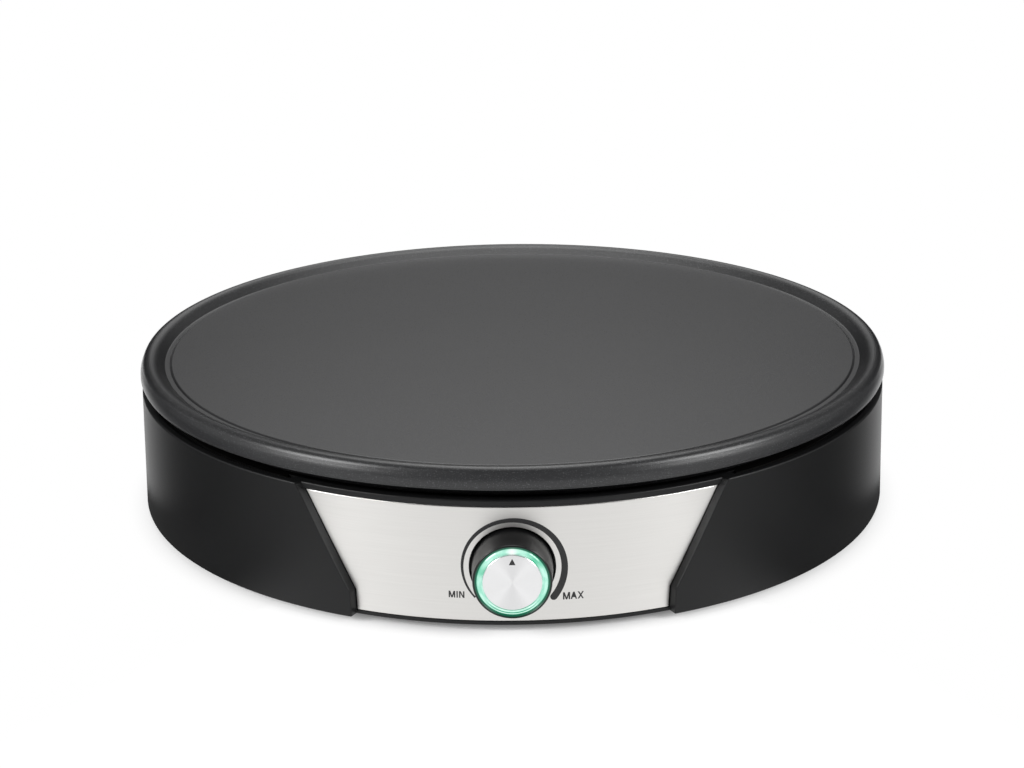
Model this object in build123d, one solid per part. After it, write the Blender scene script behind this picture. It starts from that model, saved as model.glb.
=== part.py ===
from build123d import *
import math
import os

# Electric crepe maker: a cast non-stick plate on a low moulded drum, with one lit temperature knob
# in a brushed steel front panel. Millimetres, +Z up. The origin is on the table, under the centre of
# the plate. The knob faces -Y.

# --- Plate -----------------------------------------------------------------------------------
PLATE_RADIUS = 165.0
RIM_WIDTH = 13.5               # from the plate's outside in to the edge of the flat
GROOVE_WIDTH = 2.1
GROOVE_DEPTH = 0.6
DISH_DEPTH = 3.2               # from the rim's crest down to the flat
SLOPE_WIDTH = 4.8              # inner slope of the rim, from the groove to the crest
RIM_HEIGHT = 8.4               # from the rim's lower edge to its crest
RIM_SHOULDER = 2.1             # the roll starts this far in from the plate's outside
RIM_BAND_SHARE = 0.4           # part of the rim's height that is its upright band
SLOPE_FILLET = 6.0
ROLL_TOP_FILLET = 3.4
ROLL_SIDE_FILLET = 9.0         # or what the upright band under it allows
ROLL_BAND_SHARE = 0.95         # part of that band the fillet may take
RIM_STEP_HEIGHT = 0.8          # a small step runs round the rim's lower edge
RIM_STEP_DEPTH = 0.4
RIM_EDGE_FILLET = 0.3
RIM_STEP_FILLET = 0.15
FLAT_EDGE_FILLET = 0.8
GROOVE_INNER_FILLET = 0.2
GROOVE_OUTER_FILLET = 0.5
RIM_LIP = 1.2                  # the rim reaches this far below the plate's underside
RIM_FOOT_WIDTH = 5.0           # the rim's solid foot under the roll
DRIP_SKIRT_INSET = 10.0        # ring under the plate that closes the gap from inside
DRIP_SKIRT_WALL = 2.5
DRIP_SKIRT_GAP = 1.6           # above the heat shield's flange

# --- Housing ---------------------------------------------------------------------------------
FOOT_HEIGHT = 3.0
HOUSING_HEIGHT = 51.5
HOUSING_INSET = 0.4            # the housing's top edge lies this far inside the plate's
HOUSING_FLARE = 1.4            # from there it widens by this to its foot
HOUSING_WALL = 2.6
HOUSING_TOP_FILLET = 0.8
PLATE_GAP = 4.9                # air between the housing's top edge and the plate
DECK_DROP = 3.0                # the ring behind the wall's top edge lies this much lower
DECK_THICKNESS = 2.4
DECK_WIDTH = 16.6              # from the housing's top edge in to the tray
TRAY_THICKNESS = 2.5
TRAY_DROP = 8.0                # from the deck's top down to the tray's top
BOTTOM_FLANGE_WIDTH = 4.8
BOTTOM_FLANGE_HEIGHT = 2.5

# --- Front recess and steel panel ------------------------------------------------------------
PANEL_INSET = 2.6              # the steel lies this far inside the housing's top edge
PANEL_THICKNESS = 0.6
PANEL_BACKING = 0.1            # adhesive between the steel and the housing
PANEL_SIDE_SEAM = 0.35
PANEL_EDGE_GAP = 0.15
BAND_STAND_OUT = 0.2           # the plain bands over and under the steel stand past it
BAND_HEIGHT = 2.6
LIP_HEIGHT = 1.65
RECESS_TOP_HALF = 80.8         # half widths of the recess, measured at the steel
RECESS_KINK_HALF = 61.05
RECESS_BOTTOM_HALF = 60.6
RECESS_KINK_HEIGHT = 10.3      # above the housing's lower edge
CHEEK_SPREAD_TOP = 1.5         # sideways run of a cheek for each millimetre towards the front
CHEEK_SPREAD_FOOT = 0.57
CUTTER_DEPTH = 40.0            # reach of the recess cutter behind the steel
CUTTER_MARGIN = 10.0           # reach of the cutters in front of the housing
FRONT_WALL = 2.6
FRONT_WALL_MARGIN = 6.0        # the thick front wall goes this far past the recess

# --- Knob ------------------------------------------------------------------------------------
KNOB_HEIGHT = 24.1             # axis above the housing's lower edge
KNOB_STAND_OUT = 14.0          # from the steel to the cap's face
KNOB_BASE_RADIUS = 15.7
KNOB_TAPER = 0.75              # the skirt narrows by this to its front
KNOB_HOLE_CLEARANCE = 0.9
KNOB_EDGE_FILLET = 0.6
KNOB_BACK_CLEARANCE = 1.2
LIGHT_RING_OUTER = 13.6
LIGHT_RING_INNER = 11.35
LIGHT_RING_SET_BACK = 0.3
LIGHT_RING_COVE = 0.7
LIGHT_RING_LAND = 0.6          # width of the ring's flat front
GLUE_GAP = 0.05
HUB_RADIUS = 11.25
CAP_RADIUS = 11.2
CAP_THICKNESS = 0.9
CAP_SKIRT = 2.2
CAP_WALL = 0.8
CAP_BEVEL = 0.35
SPOKE_COUNT = 3
SPOKE_START = 30.0
SPOKE_INNER = 8.0
SPOKE_WIDTH = 3.0
SPOKE_DEPTH = 6.0
SPOKE_CLEARANCE = 0.15
POCKET_DEPTH = 4.3             # from the recess floor back to the pocket's floor
POCKET_FLOOR = 2.5
POCKET_WALL = 2.2

# --- Thermostat ------------------------------------------------------------------------------
SPINDLE_RADIUS = 3.0
SPINDLE_FLAT = 1.5             # depth of the flat on the spindle
SPINDLE_CLEARANCE = 0.05
SPINDLE_DEPTH = 8.0            # length of the spindle inside the control
SPINDLE_END_GAP = 0.3
SPINDLE_CHAMFER = 0.5
BUSHING_RADIUS = 4.9
BUSHING_CLEARANCE = 0.2
BUSHING_STAND_OUT = 0.8        # past the nut
HUB_CLEARANCE = 0.6            # from the bushing's end to the knob's hub
COLLAR_RADIUS = 7.0
NUT_ACROSS_FLATS = 14.0
NUT_THICKNESS = 2.8
THERMOSTAT_WIDTH = 34.0
THERMOSTAT_DEPTH = 34.0
THERMOSTAT_HEIGHT = 23.0
THERMOSTAT_FILLET = 2.0
THERMOSTAT_GAP = 4.0           # from the pocket's floor to the body, for the lamp board
BLADE_WIDTH = 6.3
BLADE_THICKNESS = 0.8
BLADE_LENGTH = 8.0
BLADE_TAIL = 1.5
BLADE_OFFSET = 9.0

# --- Lamp board ------------------------------------------------------------------------------
BOARD_OUTER_RADIUS = 15.5
BOARD_THICKNESS = 1.6
BOARD_GAP = 1.4                # length of the bosses that carry the board
BOARD_CLEARANCE = 0.4
BOARD_BOSS_RADIUS = 2.6
BOARD_SCREW_OFFSET = 11.5
BOARD_SCREW_RADIUS = 1.0
BOARD_SCREW_CLEARANCE = 0.2
BOARD_SCREW_DEPTH = 1.0        # engagement in the pocket's floor
BOARD_SCREW_HEAD_RADIUS = 1.9
BOARD_SCREW_HEAD_HEIGHT = 0.6
LAMP_RADIUS = 1.5
LAMP_FLANGE_RADIUS = 1.9
LAMP_FLANGE_THICKNESS = 0.8
LAMP_LENGTH = 4.2
LAMP_WINDOW_RADIUS = 2.2

# --- Heating -----------------------------------------------------------------------------------
ELEMENT_RING_RADIUS = 95.0
ELEMENT_RADIUS = 4.0
ELEMENT_CLEARANCE = 0.1
ELEMENT_GAP_ANGLE = 38.0       # open part of the ring, at the front
RIDGE_WALL = 3.0
RIDGE_DEPTH = 8.6
COLD_BEND_RADIUS = 9.0
COLD_END_RISE = 4.1            # the cold ends stop this far above the knob's axis
COLD_END_CLEARANCE = 2.0       # around the cold ends, in the shield and the tray
INSULATOR_RADIUS = 3.0
INSULATOR_LENGTH = 4.0
INSULATOR_CHAMFER = 0.6

# --- Plate mounting and heat shield --------------------------------------------------------------
SHIELD_THICKNESS = 0.8
SHIELD_DROP = 3.2              # from the deck's top down to the shield's floor
SHIELD_FLANGE_GAP = 5.0        # from the housing's wall to the shield's flange
SHIELD_DECK_GAP = 2.0          # from the deck's edge to the shield's wall
SHIELD_WALL_RUN = 7.0          # sideways run of the shield's sloping wall
PLATE_BOSS_COUNT = 4
PLATE_BOSS_INSET = 43.0        # from the plate's outside in to the screws
PLATE_BOSS_RADIUS = 6.5
PLATE_SCREW_RADIUS = 2.0
PLATE_SCREW_DEPTH = 8.0        # engagement in the plate's boss
PLATE_HOLE_SPARE = 1.0         # empty end of the screw's hole
SCREW_CLEARANCE = 0.2
THREAD_CLEARANCE = 0.03
SPACER_RADIUS = 5.0

# --- Feeler, fuse and earth on the plate's underside ------------------------------------------------
BULB_RADIUS = 3.0
BULB_LENGTH = 55.0
BULB_X = 40.0
BULB_FRONT_Y = -45.0
CAPILLARY_RADIUS = 0.9
FUSE_RADIUS = 2.5
FUSE_LENGTH = 26.0
FUSE_X = -40.0
FUSE_FRONT_Y = -56.0
CLIP_THICKNESS = 0.8
CLIP_WIDTH = 10.0
CLIP_GAP = 0.15
CLIP_FOOT = 9.0
CLIP_SCREW_RADIUS = 1.5
CLIP_SCREW_LENGTH = 3.0
UNDERSIDE_GAP = 0.2            # between the plate and what is clipped to it
EARTH_X = 50.0
EARTH_Y = 50.0
EARTH_PAD_RADIUS = 5.0
EARTH_PAD_HEIGHT = 6.0
EARTH_SCREW_LENGTH = 7.0
DROP_OFFSET = 14.0             # wires turn down this far beyond what they serve

# --- Bottom cover, feet and screws -----------------------------------------------------------------
COVER_THICKNESS = 2.5
COVER_RECESS = 0.5
COVER_CLEARANCE = 0.4
COVER_RIB_HEIGHT = 3.5
COVER_RIB_WIDTH = 2.0
COVER_RIB_INSET = 4.0          # from the feet's pads in to the rib
COVER_BOSS_COUNT = 6
COVER_BOSS_INSET = 20.0        # from the housing's foot in to the screws
COVER_BOSS_RADIUS = 4.4
COVER_SCREW_RADIUS = 1.75
COVER_SCREW_DEPTH = 12.0
SCREW_HEAD_RATIO = 1.9         # head radius over shank radius
SCREW_HEAD_HEIGHT = 2.2
SCREW_HEAD_FILLET = 0.7
SCREW_HEAD_CLEARANCE = 0.4
SCREW_SINK = 0.3               # the cover screws' heads lie this far below its face
SCREW_CUP_FLOOR = 1.6
SCREW_CUP_WALL = 1.5
SCREW_SLOT_WIDTH = 0.8
SCREW_SLOT_DEPTH = 0.9
VENT_CIRCLES = {64.0: 16, 96.0: 28}   # slots on each circle, by its radius
VENT_LENGTH = 20.0
VENT_WIDTH = 2.6
FOOT_COUNT = 4
FOOT_INSET = 34.0              # from the housing's foot in to the feet
FOOT_RADIUS = 10.0
FOOT_SOCKET_DEPTH = 1.0
FOOT_STEM_RADIUS = 3.8
FOOT_STEM_CLEARANCE = 0.1
FOOT_BARB_RADIUS = 4.8
FOOT_BARB_TIP_RADIUS = 2.8
FOOT_BARB_HEIGHT = 2.4
FOOT_BARB_GAP = 0.05
FOOT_CLEARANCE = 0.3
FOOT_CHAMFER = 1.2

# --- Cord inlet --------------------------------------------------------------------------------
GLAND_HEIGHT = 19.0            # axis above the housing's lower edge
GLAND_BORE = 3.6
GLAND_STAND_OUT = 10.0         # from the housing's foot to the nose's end
GLAND_NOSE_RADIUS = 5.6
GLAND_FLANGE_RADIUS = 8.5
GLAND_FLANGE_THICKNESS = 2.0
GLAND_SLEEVE_RADIUS = 6.4
GLAND_INNER_LENGTH = 8.0
GLAND_LIP = 0.9
GLAND_LIP_WIDTH = 2.5
GLAND_CLEARANCE = 0.3
GLAND_SEAT_GAP = 0.1
GLAND_FLANGE_BEVEL = 0.6
CLAMP_BLOCK_WIDTH = 32.0
CLAMP_BLOCK_DEPTH = 10.0
CLAMP_INSET = 34.0             # from the housing's foot in to the clamp
CLAMP_BAR_HEIGHT = 7.0
CLAMP_HOLE_RADIUS = 3.3
CLAMP_SCREW_OFFSET = 11.0
CLAMP_FILLET = 1.0

# --- Terminal block and wires ----------------------------------------------------------------------
TERMINAL_SETBACK = 36.0        # from the clamp to the block
TERMINAL_WIDTH = 36.0
TERMINAL_DEPTH = 20.0
TERMINAL_HEIGHT = 12.0
TERMINAL_TOWER_HEIGHT = 4.0
TERMINAL_TOWER_RADIUS = 4.2
POLE_PITCH = 11.0
POLE_SCREW_RADIUS = 1.9
POLE_SCREW_HEIGHT = 2.0
POLE_SCREW_SINK = 2.0          # into the block, past its tower
POLE_SCREW_CLEARANCE = 0.1
WIRE_RADIUS = 1.4
WIRE_BEND = 8.0
WIRE_CLEARANCE = 0.1
LAMP_WIRE_RADIUS = 0.7
LAMP_WIRE_OFFSET = 4.0
WIRE_HOLE_RADIUS = 5.0

# --- Derived radii -----------------------------------------------------------------------------
FLAT_RADIUS = PLATE_RADIUS - RIM_WIDTH
DRIP_SKIRT_RADIUS = PLATE_RADIUS - DRIP_SKIRT_INSET
HOUSING_TOP_RADIUS = PLATE_RADIUS - HOUSING_INSET
HOUSING_BOTTOM_RADIUS = HOUSING_TOP_RADIUS + HOUSING_FLARE
HOUSING_SLOPE = -HOUSING_FLARE / HOUSING_HEIGHT
DECK_INNER_RADIUS = HOUSING_TOP_RADIUS - DECK_WIDTH
PANEL_RADIUS = HOUSING_TOP_RADIUS - PANEL_INSET
BAND_RADIUS = PANEL_RADIUS + BAND_STAND_OUT
SHIELD_FLANGE_RADIUS = HOUSING_TOP_RADIUS - HOUSING_WALL - SHIELD_FLANGE_GAP
SHIELD_WALL_RADIUS = DECK_INNER_RADIUS - SHIELD_DECK_GAP
SHIELD_FLOOR_RADIUS = SHIELD_WALL_RADIUS - SHIELD_WALL_RUN
PLATE_BOSS_CIRCLE = PLATE_RADIUS - PLATE_BOSS_INSET
COVER_RADIUS = HOUSING_BOTTOM_RADIUS - HOUSING_WALL - BOTTOM_FLANGE_WIDTH - COVER_CLEARANCE
COVER_BOSS_CIRCLE = HOUSING_BOTTOM_RADIUS - COVER_BOSS_INSET
FOOT_CIRCLE = HOUSING_BOTTOM_RADIUS - FOOT_INSET
CLAMP_Y = HOUSING_BOTTOM_RADIUS - CLAMP_INSET
TERMINAL_Y = CLAMP_Y - TERMINAL_SETBACK
GLAND_NOSE_END = HOUSING_BOTTOM_RADIUS + GLAND_STAND_OUT
KNOB_FACE = PANEL_RADIUS + KNOB_STAND_OUT

# --- Derived heights ----------------------------------------------------------------------------
HOUSING_BASE = FOOT_HEIGHT
HOUSING_TOP = HOUSING_BASE + HOUSING_HEIGHT
RIM_EDGE = HOUSING_TOP + PLATE_GAP
CREST = RIM_EDGE + RIM_HEIGHT
FLAT = CREST - DISH_DEPTH
UNDERSIDE = RIM_EDGE + RIM_LIP
DECK_TOP = HOUSING_TOP - DECK_DROP
DECK_BOTTOM = DECK_TOP - DECK_THICKNESS
TRAY_TOP = DECK_TOP - TRAY_DROP
TRAY_BOTTOM = TRAY_TOP - TRAY_THICKNESS
SHIELD_TOP = DECK_TOP - SHIELD_DROP
SHIELD_BOTTOM = SHIELD_TOP - SHIELD_THICKNESS
COVER_BASE = HOUSING_BASE + COVER_RECESS
COVER_TOP = COVER_BASE + COVER_THICKNESS
COVER_SCREW_SEAT = COVER_BASE + SCREW_HEAD_HEIGHT + SCREW_SINK
COVER_BOSS_LOW = COVER_SCREW_SEAT + SCREW_CUP_FLOOR
KNOB_Z = HOUSING_BASE + KNOB_HEIGHT
GLAND_Z = HOUSING_BASE + GLAND_HEIGHT
ELEMENT_Z = UNDERSIDE - ELEMENT_RADIUS - ELEMENT_CLEARANCE
STEEL_BOTTOM = HOUSING_BASE + LIP_HEIGHT
STEEL_TOP = HOUSING_TOP - BAND_HEIGHT
RECESS_KINK = HOUSING_BASE + RECESS_KINK_HEIGHT

# --- Derived depths along the knob's axis, measured from the plate's centre -----------------------
RECESS_FLOOR = PANEL_RADIUS - PANEL_THICKNESS - PANEL_BACKING
FRONT_INNER = RECESS_FLOOR - FRONT_WALL
KNOB_FRONT_RADIUS = KNOB_BASE_RADIUS - KNOB_TAPER
KNOB_HOLE_RADIUS = KNOB_BASE_RADIUS + KNOB_HOLE_CLEARANCE
POCKET_FRONT = RECESS_FLOOR - POCKET_DEPTH
POCKET_BACK = POCKET_FRONT - POCKET_FLOOR
KNOB_BACK = POCKET_FRONT + KNOB_BACK_CLEARANCE
THERMOSTAT_FRONT = POCKET_BACK - THERMOSTAT_GAP
THERMOSTAT_BACK = THERMOSTAT_FRONT - THERMOSTAT_DEPTH
NUT_FRONT = POCKET_FRONT + NUT_THICKNESS
BUSHING_FRONT = NUT_FRONT + BUSHING_STAND_OUT
HUB_BACK = BUSHING_FRONT + HUB_CLEARANCE
CAP_BACK = KNOB_FACE - CAP_THICKNESS
CAP_SKIRT_BACK = CAP_BACK - CAP_SKIRT
RING_FRONT = KNOB_FACE - LIGHT_RING_SET_BACK
HUB_FRONT = CAP_BACK - GLUE_GAP
SPINDLE_FRONT = CAP_SKIRT_BACK - SPINDLE_END_GAP
BOARD_FRONT = POCKET_BACK - BOARD_GAP
BOARD_BACK = BOARD_FRONT - BOARD_THICKNESS
BOARD_INNER_RADIUS = COLLAR_RADIUS + BOARD_CLEARANCE
LAMP_OFFSET = (LIGHT_RING_OUTER + LIGHT_RING_INNER) / 2

# Local z of this plane points out of the front along the knob's axis, local y points up.
KNOB_AXIS = Plane(origin=(0, 0, KNOB_Z), x_dir=(1, 0, 0), z_dir=(0, -1, 0))
# Local z of this plane points out of the back along the cord's axis.
CORD_AXIS = Plane(origin=(0, 0, GLAND_Z), x_dir=(-1, 0, 0), z_dir=(0, 1, 0))


def turned(points):
    """A solid of revolution about Z from a closed outline of (radius, height) points."""
    outline = [(radius, 0, height) for radius, height in points]
    return revolve(make_face(Polyline(*outline, close=True)), Axis.Z)


def rod(radius, low, high, x=0.0, y=0.0):
    """An upright cylinder from one height to another."""
    return Pos(x, y, low) * Cylinder(radius, high - low, align=(Align.CENTER, Align.CENTER, Align.MIN))


def tube(outer, inner, low, high, x=0.0, y=0.0):
    """An upright tube from one height to another."""
    return rod(outer, low, high, x, y) - rod(inner, low, high, x, y)


def block(width, depth, low, high, x=0.0, y=0.0):
    """An upright box from one height to another, centred on x and y."""
    size = (width, depth, high - low)
    return Pos(x, y, low) * Box(*size, align=(Align.CENTER, Align.CENTER, Align.MIN))


def on_circle(radius, count, start):
    """Evenly spaced (x, y) places on a circle about the plate's axis."""
    places = []
    for index in range(count):
        angle = math.radians(start + 360.0 * index / count)
        places.append((radius * math.cos(angle), radius * math.sin(angle)))
    return places


def wire(points, radius, bend):
    """A round wire along straight runs with rounded corners."""
    path = FilletPolyline(*points, radius=bend)
    start = Plane(origin=path @ 0, z_dir=path % 0)
    return sweep(start * Circle(radius), path=path)


def pan_screw(shank, length):
    """A screw with its head's seat at height 0: the head hangs below and the shank stands up."""
    head = rod(shank * SCREW_HEAD_RATIO, -SCREW_HEAD_HEIGHT, 0)
    head = fillet(head.faces().sort_by(Axis.Z)[0].edges(), SCREW_HEAD_FILLET)
    slot_width = 2 * shank * SCREW_HEAD_RATIO
    slot = block(slot_width, SCREW_SLOT_WIDTH, -SCREW_HEAD_HEIGHT, SCREW_SLOT_DEPTH - SCREW_HEAD_HEIGHT)
    return head - slot + rod(shank, 0, length)


PLATE_BOSSES = on_circle(PLATE_BOSS_CIRCLE, PLATE_BOSS_COUNT, 45)
COVER_BOSSES = on_circle(COVER_BOSS_CIRCLE, COVER_BOSS_COUNT, 0)
FEET = on_circle(FOOT_CIRCLE, FOOT_COUNT, 45)
LAMPS = [(0, LAMP_OFFSET), (0, -LAMP_OFFSET)]
BOARD_SCREWS = [(BOARD_SCREW_OFFSET, 0), (-BOARD_SCREW_OFFSET, 0)]
HALF_GAP = math.radians(ELEMENT_GAP_ANGLE / 2)
ELEMENT_END_X = ELEMENT_RING_RADIUS * math.sin(HALF_GAP)
ELEMENT_END_Y = -ELEMENT_RING_RADIUS * math.cos(HALF_GAP)
FUSE_Z = UNDERSIDE - UNDERSIDE_GAP - FUSE_RADIUS
BULB_Z = UNDERSIDE - UNDERSIDE_GAP - BULB_RADIUS
CAPILLARY_DROP_Y = BULB_FRONT_Y - DROP_OFFSET
FUSE_DROP_FRONT_Y = FUSE_FRONT_Y - DROP_OFFSET
FUSE_DROP_BACK_Y = FUSE_FRONT_Y + FUSE_LENGTH + DROP_OFFSET
EARTH_DROP_Y = EARTH_Y + DROP_OFFSET
# Where wires pass down through the heat shield and the tray.
WIRE_HOLES = [
    (BULB_X, CAPILLARY_DROP_Y),
    (FUSE_X, FUSE_DROP_FRONT_Y),
    (FUSE_X, FUSE_DROP_BACK_Y),
    (EARTH_X, EARTH_DROP_Y),
]


def cold_end_place(side):
    """Where a cold end of the element turns straight down, past the end of the ring."""
    x = side * (ELEMENT_END_X - COLD_BEND_RADIUS * math.cos(HALF_GAP))
    y = ELEMENT_END_Y - COLD_BEND_RADIUS * math.sin(HALF_GAP)
    return x, y


COLD_ENDS = [cold_end_place(1), cold_end_place(-1)]
COLD_END_LOW = KNOB_Z + COLD_END_RISE
BLADE_TOP = COLD_END_LOW - INSULATOR_LENGTH


def roll_side_fillet():
    """The radius at the foot of the rim's roll, limited by the upright band under it."""
    roll_height = (1 - RIM_BAND_SHARE) * RIM_HEIGHT
    half_turn = math.atan(RIM_SHOULDER / roll_height) / 2
    band = RIM_BAND_SHARE * RIM_HEIGHT - RIM_STEP_HEIGHT - RIM_EDGE_FILLET
    return min(ROLL_SIDE_FILLET, ROLL_BAND_SHARE * band / math.tan(half_turn))


def cooking_plate():
    """The cast plate: flat, groove and rolled rim above; element ridge and bosses below."""
    groove_floor = FLAT - GROOVE_DEPTH
    groove_out = FLAT_RADIUS + GROOVE_DEPTH + GROOVE_WIDTH
    foot = PLATE_RADIUS - RIM_FOOT_WIDTH
    outline = FilletPolyline(
        (0, FLAT),
        (FLAT_RADIUS, FLAT),
        (FLAT_RADIUS + GROOVE_DEPTH, groove_floor),
        (groove_out, groove_floor),
        (groove_out + SLOPE_WIDTH, CREST),
        (PLATE_RADIUS - RIM_SHOULDER, CREST),
        (PLATE_RADIUS, RIM_EDGE + RIM_BAND_SHARE * RIM_HEIGHT),
        (PLATE_RADIUS, RIM_EDGE + RIM_STEP_HEIGHT),
        (PLATE_RADIUS - RIM_STEP_DEPTH, RIM_EDGE + RIM_STEP_HEIGHT),
        (PLATE_RADIUS - RIM_STEP_DEPTH, RIM_EDGE),
        (foot, RIM_EDGE),
        (foot - RIM_LIP, UNDERSIDE),
        (0, UNDERSIDE),
        radius=[
            FLAT_EDGE_FILLET,
            GROOVE_INNER_FILLET,
            GROOVE_OUTER_FILLET,
            SLOPE_FILLET,
            ROLL_TOP_FILLET,
            roll_side_fillet(),
            RIM_EDGE_FILLET,
            RIM_STEP_FILLET,
            RIM_STEP_FILLET,
            RIM_EDGE_FILLET,
            RIM_EDGE_FILLET,
        ],
    )
    section = make_face([*outline.edges(), Line((0, UNDERSIDE), (0, FLAT)).edge()])
    plate = revolve(Plane.XZ * section, Axis.Z)
    skirt_low = DECK_TOP + SHIELD_THICKNESS + DRIP_SKIRT_GAP
    plate += tube(DRIP_SKIRT_RADIUS, DRIP_SKIRT_RADIUS - DRIP_SKIRT_WALL, skirt_low, UNDERSIDE)

    ridge_out = ELEMENT_RING_RADIUS + ELEMENT_RADIUS + ELEMENT_CLEARANCE + RIDGE_WALL
    ridge_in = ELEMENT_RING_RADIUS - ELEMENT_RADIUS - ELEMENT_CLEARANCE - RIDGE_WALL
    ridge = tube(ridge_out, ridge_in, UNDERSIDE - RIDGE_DEPTH, UNDERSIDE)
    spread = ridge_out * math.tan(HALF_GAP)
    wedge = Polyline((0, 0), (spread, -ridge_out), (-spread, -ridge_out), close=True)
    ridge -= Pos(0, 0, UNDERSIDE - RIDGE_DEPTH) * extrude(make_face(wedge), RIDGE_DEPTH)
    plate += ridge
    slot_radius = ELEMENT_RADIUS + ELEMENT_CLEARANCE
    slot_out = ELEMENT_RING_RADIUS + slot_radius
    slot_in = ELEMENT_RING_RADIUS - slot_radius
    plate -= Pos(0, 0, ELEMENT_Z) * Torus(ELEMENT_RING_RADIUS, slot_radius)
    plate -= tube(slot_out, slot_in, UNDERSIDE - RIDGE_DEPTH, ELEMENT_Z)

    for x, y in PLATE_BOSSES:
        plate += rod(PLATE_BOSS_RADIUS, SHIELD_TOP, UNDERSIDE, x, y)
    for x, y in PLATE_BOSSES:
        hole = PLATE_SCREW_RADIUS + THREAD_CLEARANCE
        plate -= rod(hole, SHIELD_TOP, SHIELD_TOP + PLATE_SCREW_DEPTH + PLATE_HOLE_SPARE, x, y)
    plate += rod(EARTH_PAD_RADIUS, UNDERSIDE - EARTH_PAD_HEIGHT, UNDERSIDE, EARTH_X, EARTH_Y)
    earth_hole = PLATE_SCREW_RADIUS + THREAD_CLEARANCE
    earth_low = UNDERSIDE - EARTH_PAD_HEIGHT
    plate -= rod(earth_hole, earth_low, earth_low + EARTH_SCREW_LENGTH + SCREW_CLEARANCE, EARTH_X, EARTH_Y)
    for x, y in clip_screw_places():
        hole = CLIP_SCREW_RADIUS + THREAD_CLEARANCE
        hole_top = UNDERSIDE + CLIP_SCREW_LENGTH - CLIP_THICKNESS + SCREW_CLEARANCE
        plate -= rod(hole, UNDERSIDE, hole_top, x, y)
    return plate


def clip_screw_places():
    """The screw beside the feeler and the screw beside the fuse."""
    bulb_side = BULB_RADIUS + CLIP_GAP + CLIP_THICKNESS + CLIP_FOOT / 2
    fuse_side = FUSE_RADIUS + CLIP_GAP + CLIP_THICKNESS + CLIP_FOOT / 2
    bulb_y = BULB_FRONT_Y + BULB_LENGTH / 2
    fuse_y = FUSE_FRONT_Y + FUSE_LENGTH / 2
    return [(BULB_X - bulb_side, bulb_y), (FUSE_X + fuse_side, fuse_y)]


def heating_element():
    """A tubular ring, open at the front, whose two cold ends turn straight down."""
    ring_face = Plane.XZ * (Pos(ELEMENT_RING_RADIUS, ELEMENT_Z) * Circle(ELEMENT_RADIUS))
    ring = revolve(ring_face, Axis.Z, 360 - ELEMENT_GAP_ANGLE)
    ring = Rot(0, 0, -90 + ELEMENT_GAP_ANGLE / 2) * ring
    element = ring
    for side in (1, -1):
        tangent = Vector(-side * math.cos(HALF_GAP), -math.sin(HALF_GAP), 0)
        start = Vector(side * ELEMENT_END_X, ELEMENT_END_Y, ELEMENT_Z)
        down = Vector(0, 0, -1)
        centre = start + down * COLD_BEND_RADIUS
        corner = centre + tangent * COLD_BEND_RADIUS
        middle = centre + (tangent - down).normalized() * COLD_BEND_RADIUS
        bend = ThreePointArc(start, middle, corner)
        straight = Line(corner, Vector(corner.X, corner.Y, COLD_END_LOW))
        path = Wire([bend.edge(), straight.edge()])
        section = Plane(origin=start, z_dir=tangent) * Circle(ELEMENT_RADIUS)
        element += sweep(section, path=path)
    return element


def element_insulators():
    """Ceramic beads on the two cold ends."""
    beads = []
    for x, y in COLD_ENDS:
        bead = rod(INSULATOR_RADIUS, BLADE_TOP, COLD_END_LOW, x, y)
        bead = chamfer(bead.faces().sort_by(Axis.Z)[0].edges(), INSULATOR_CHAMFER)
        beads.append(bead)
    return Compound(beads)


def element_blades():
    """Flat push-on blades under the beads, turned towards the back."""
    blades = []
    for x, y in COLD_ENDS:
        length = BLADE_LENGTH + 2 * BLADE_TAIL
        low = BLADE_TOP - BLADE_THICKNESS
        blades.append(block(BLADE_WIDTH, length, low, BLADE_TOP, x, y + BLADE_LENGTH / 2))
    return Compound(blades)


def heat_shield():
    """A thin pressed dish under the element, whose flange lies on the housing's deck."""
    t = SHIELD_THICKNESS
    shield = turned([
        (0, SHIELD_BOTTOM),
        (SHIELD_FLOOR_RADIUS, SHIELD_BOTTOM),
        (SHIELD_WALL_RADIUS, DECK_TOP),
        (SHIELD_FLANGE_RADIUS, DECK_TOP),
        (SHIELD_FLANGE_RADIUS, DECK_TOP + t),
        (SHIELD_WALL_RADIUS - t / 2, DECK_TOP + t),
        (SHIELD_FLOOR_RADIUS - t / 2, SHIELD_TOP),
        (0, SHIELD_TOP),
    ])
    for x, y in PLATE_BOSSES:
        shield -= rod(PLATE_SCREW_RADIUS + SCREW_CLEARANCE, SHIELD_BOTTOM, SHIELD_TOP, x, y)
    for x, y in WIRE_HOLES:
        shield -= rod(WIRE_HOLE_RADIUS, SHIELD_BOTTOM, SHIELD_TOP, x, y)
    for x, y in COLD_ENDS:
        shield -= rod(ELEMENT_RADIUS + COLD_END_CLEARANCE, SHIELD_BOTTOM, SHIELD_TOP, x, y)
    return shield


def plate_spacers():
    """Ceramic bushes between the housing's tray and the heat shield."""
    bore = PLATE_SCREW_RADIUS + SCREW_CLEARANCE
    return Compound([tube(SPACER_RADIUS, bore, TRAY_TOP, SHIELD_BOTTOM, x, y) for x, y in PLATE_BOSSES])


def plate_screws():
    """Screws up through the tray, the bushes and the shield into the plate's bosses."""
    length = SHIELD_TOP + PLATE_SCREW_DEPTH - TRAY_BOTTOM
    return Compound([Pos(x, y, TRAY_BOTTOM) * pan_screw(PLATE_SCREW_RADIUS, length) for x, y in PLATE_BOSSES])


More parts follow.
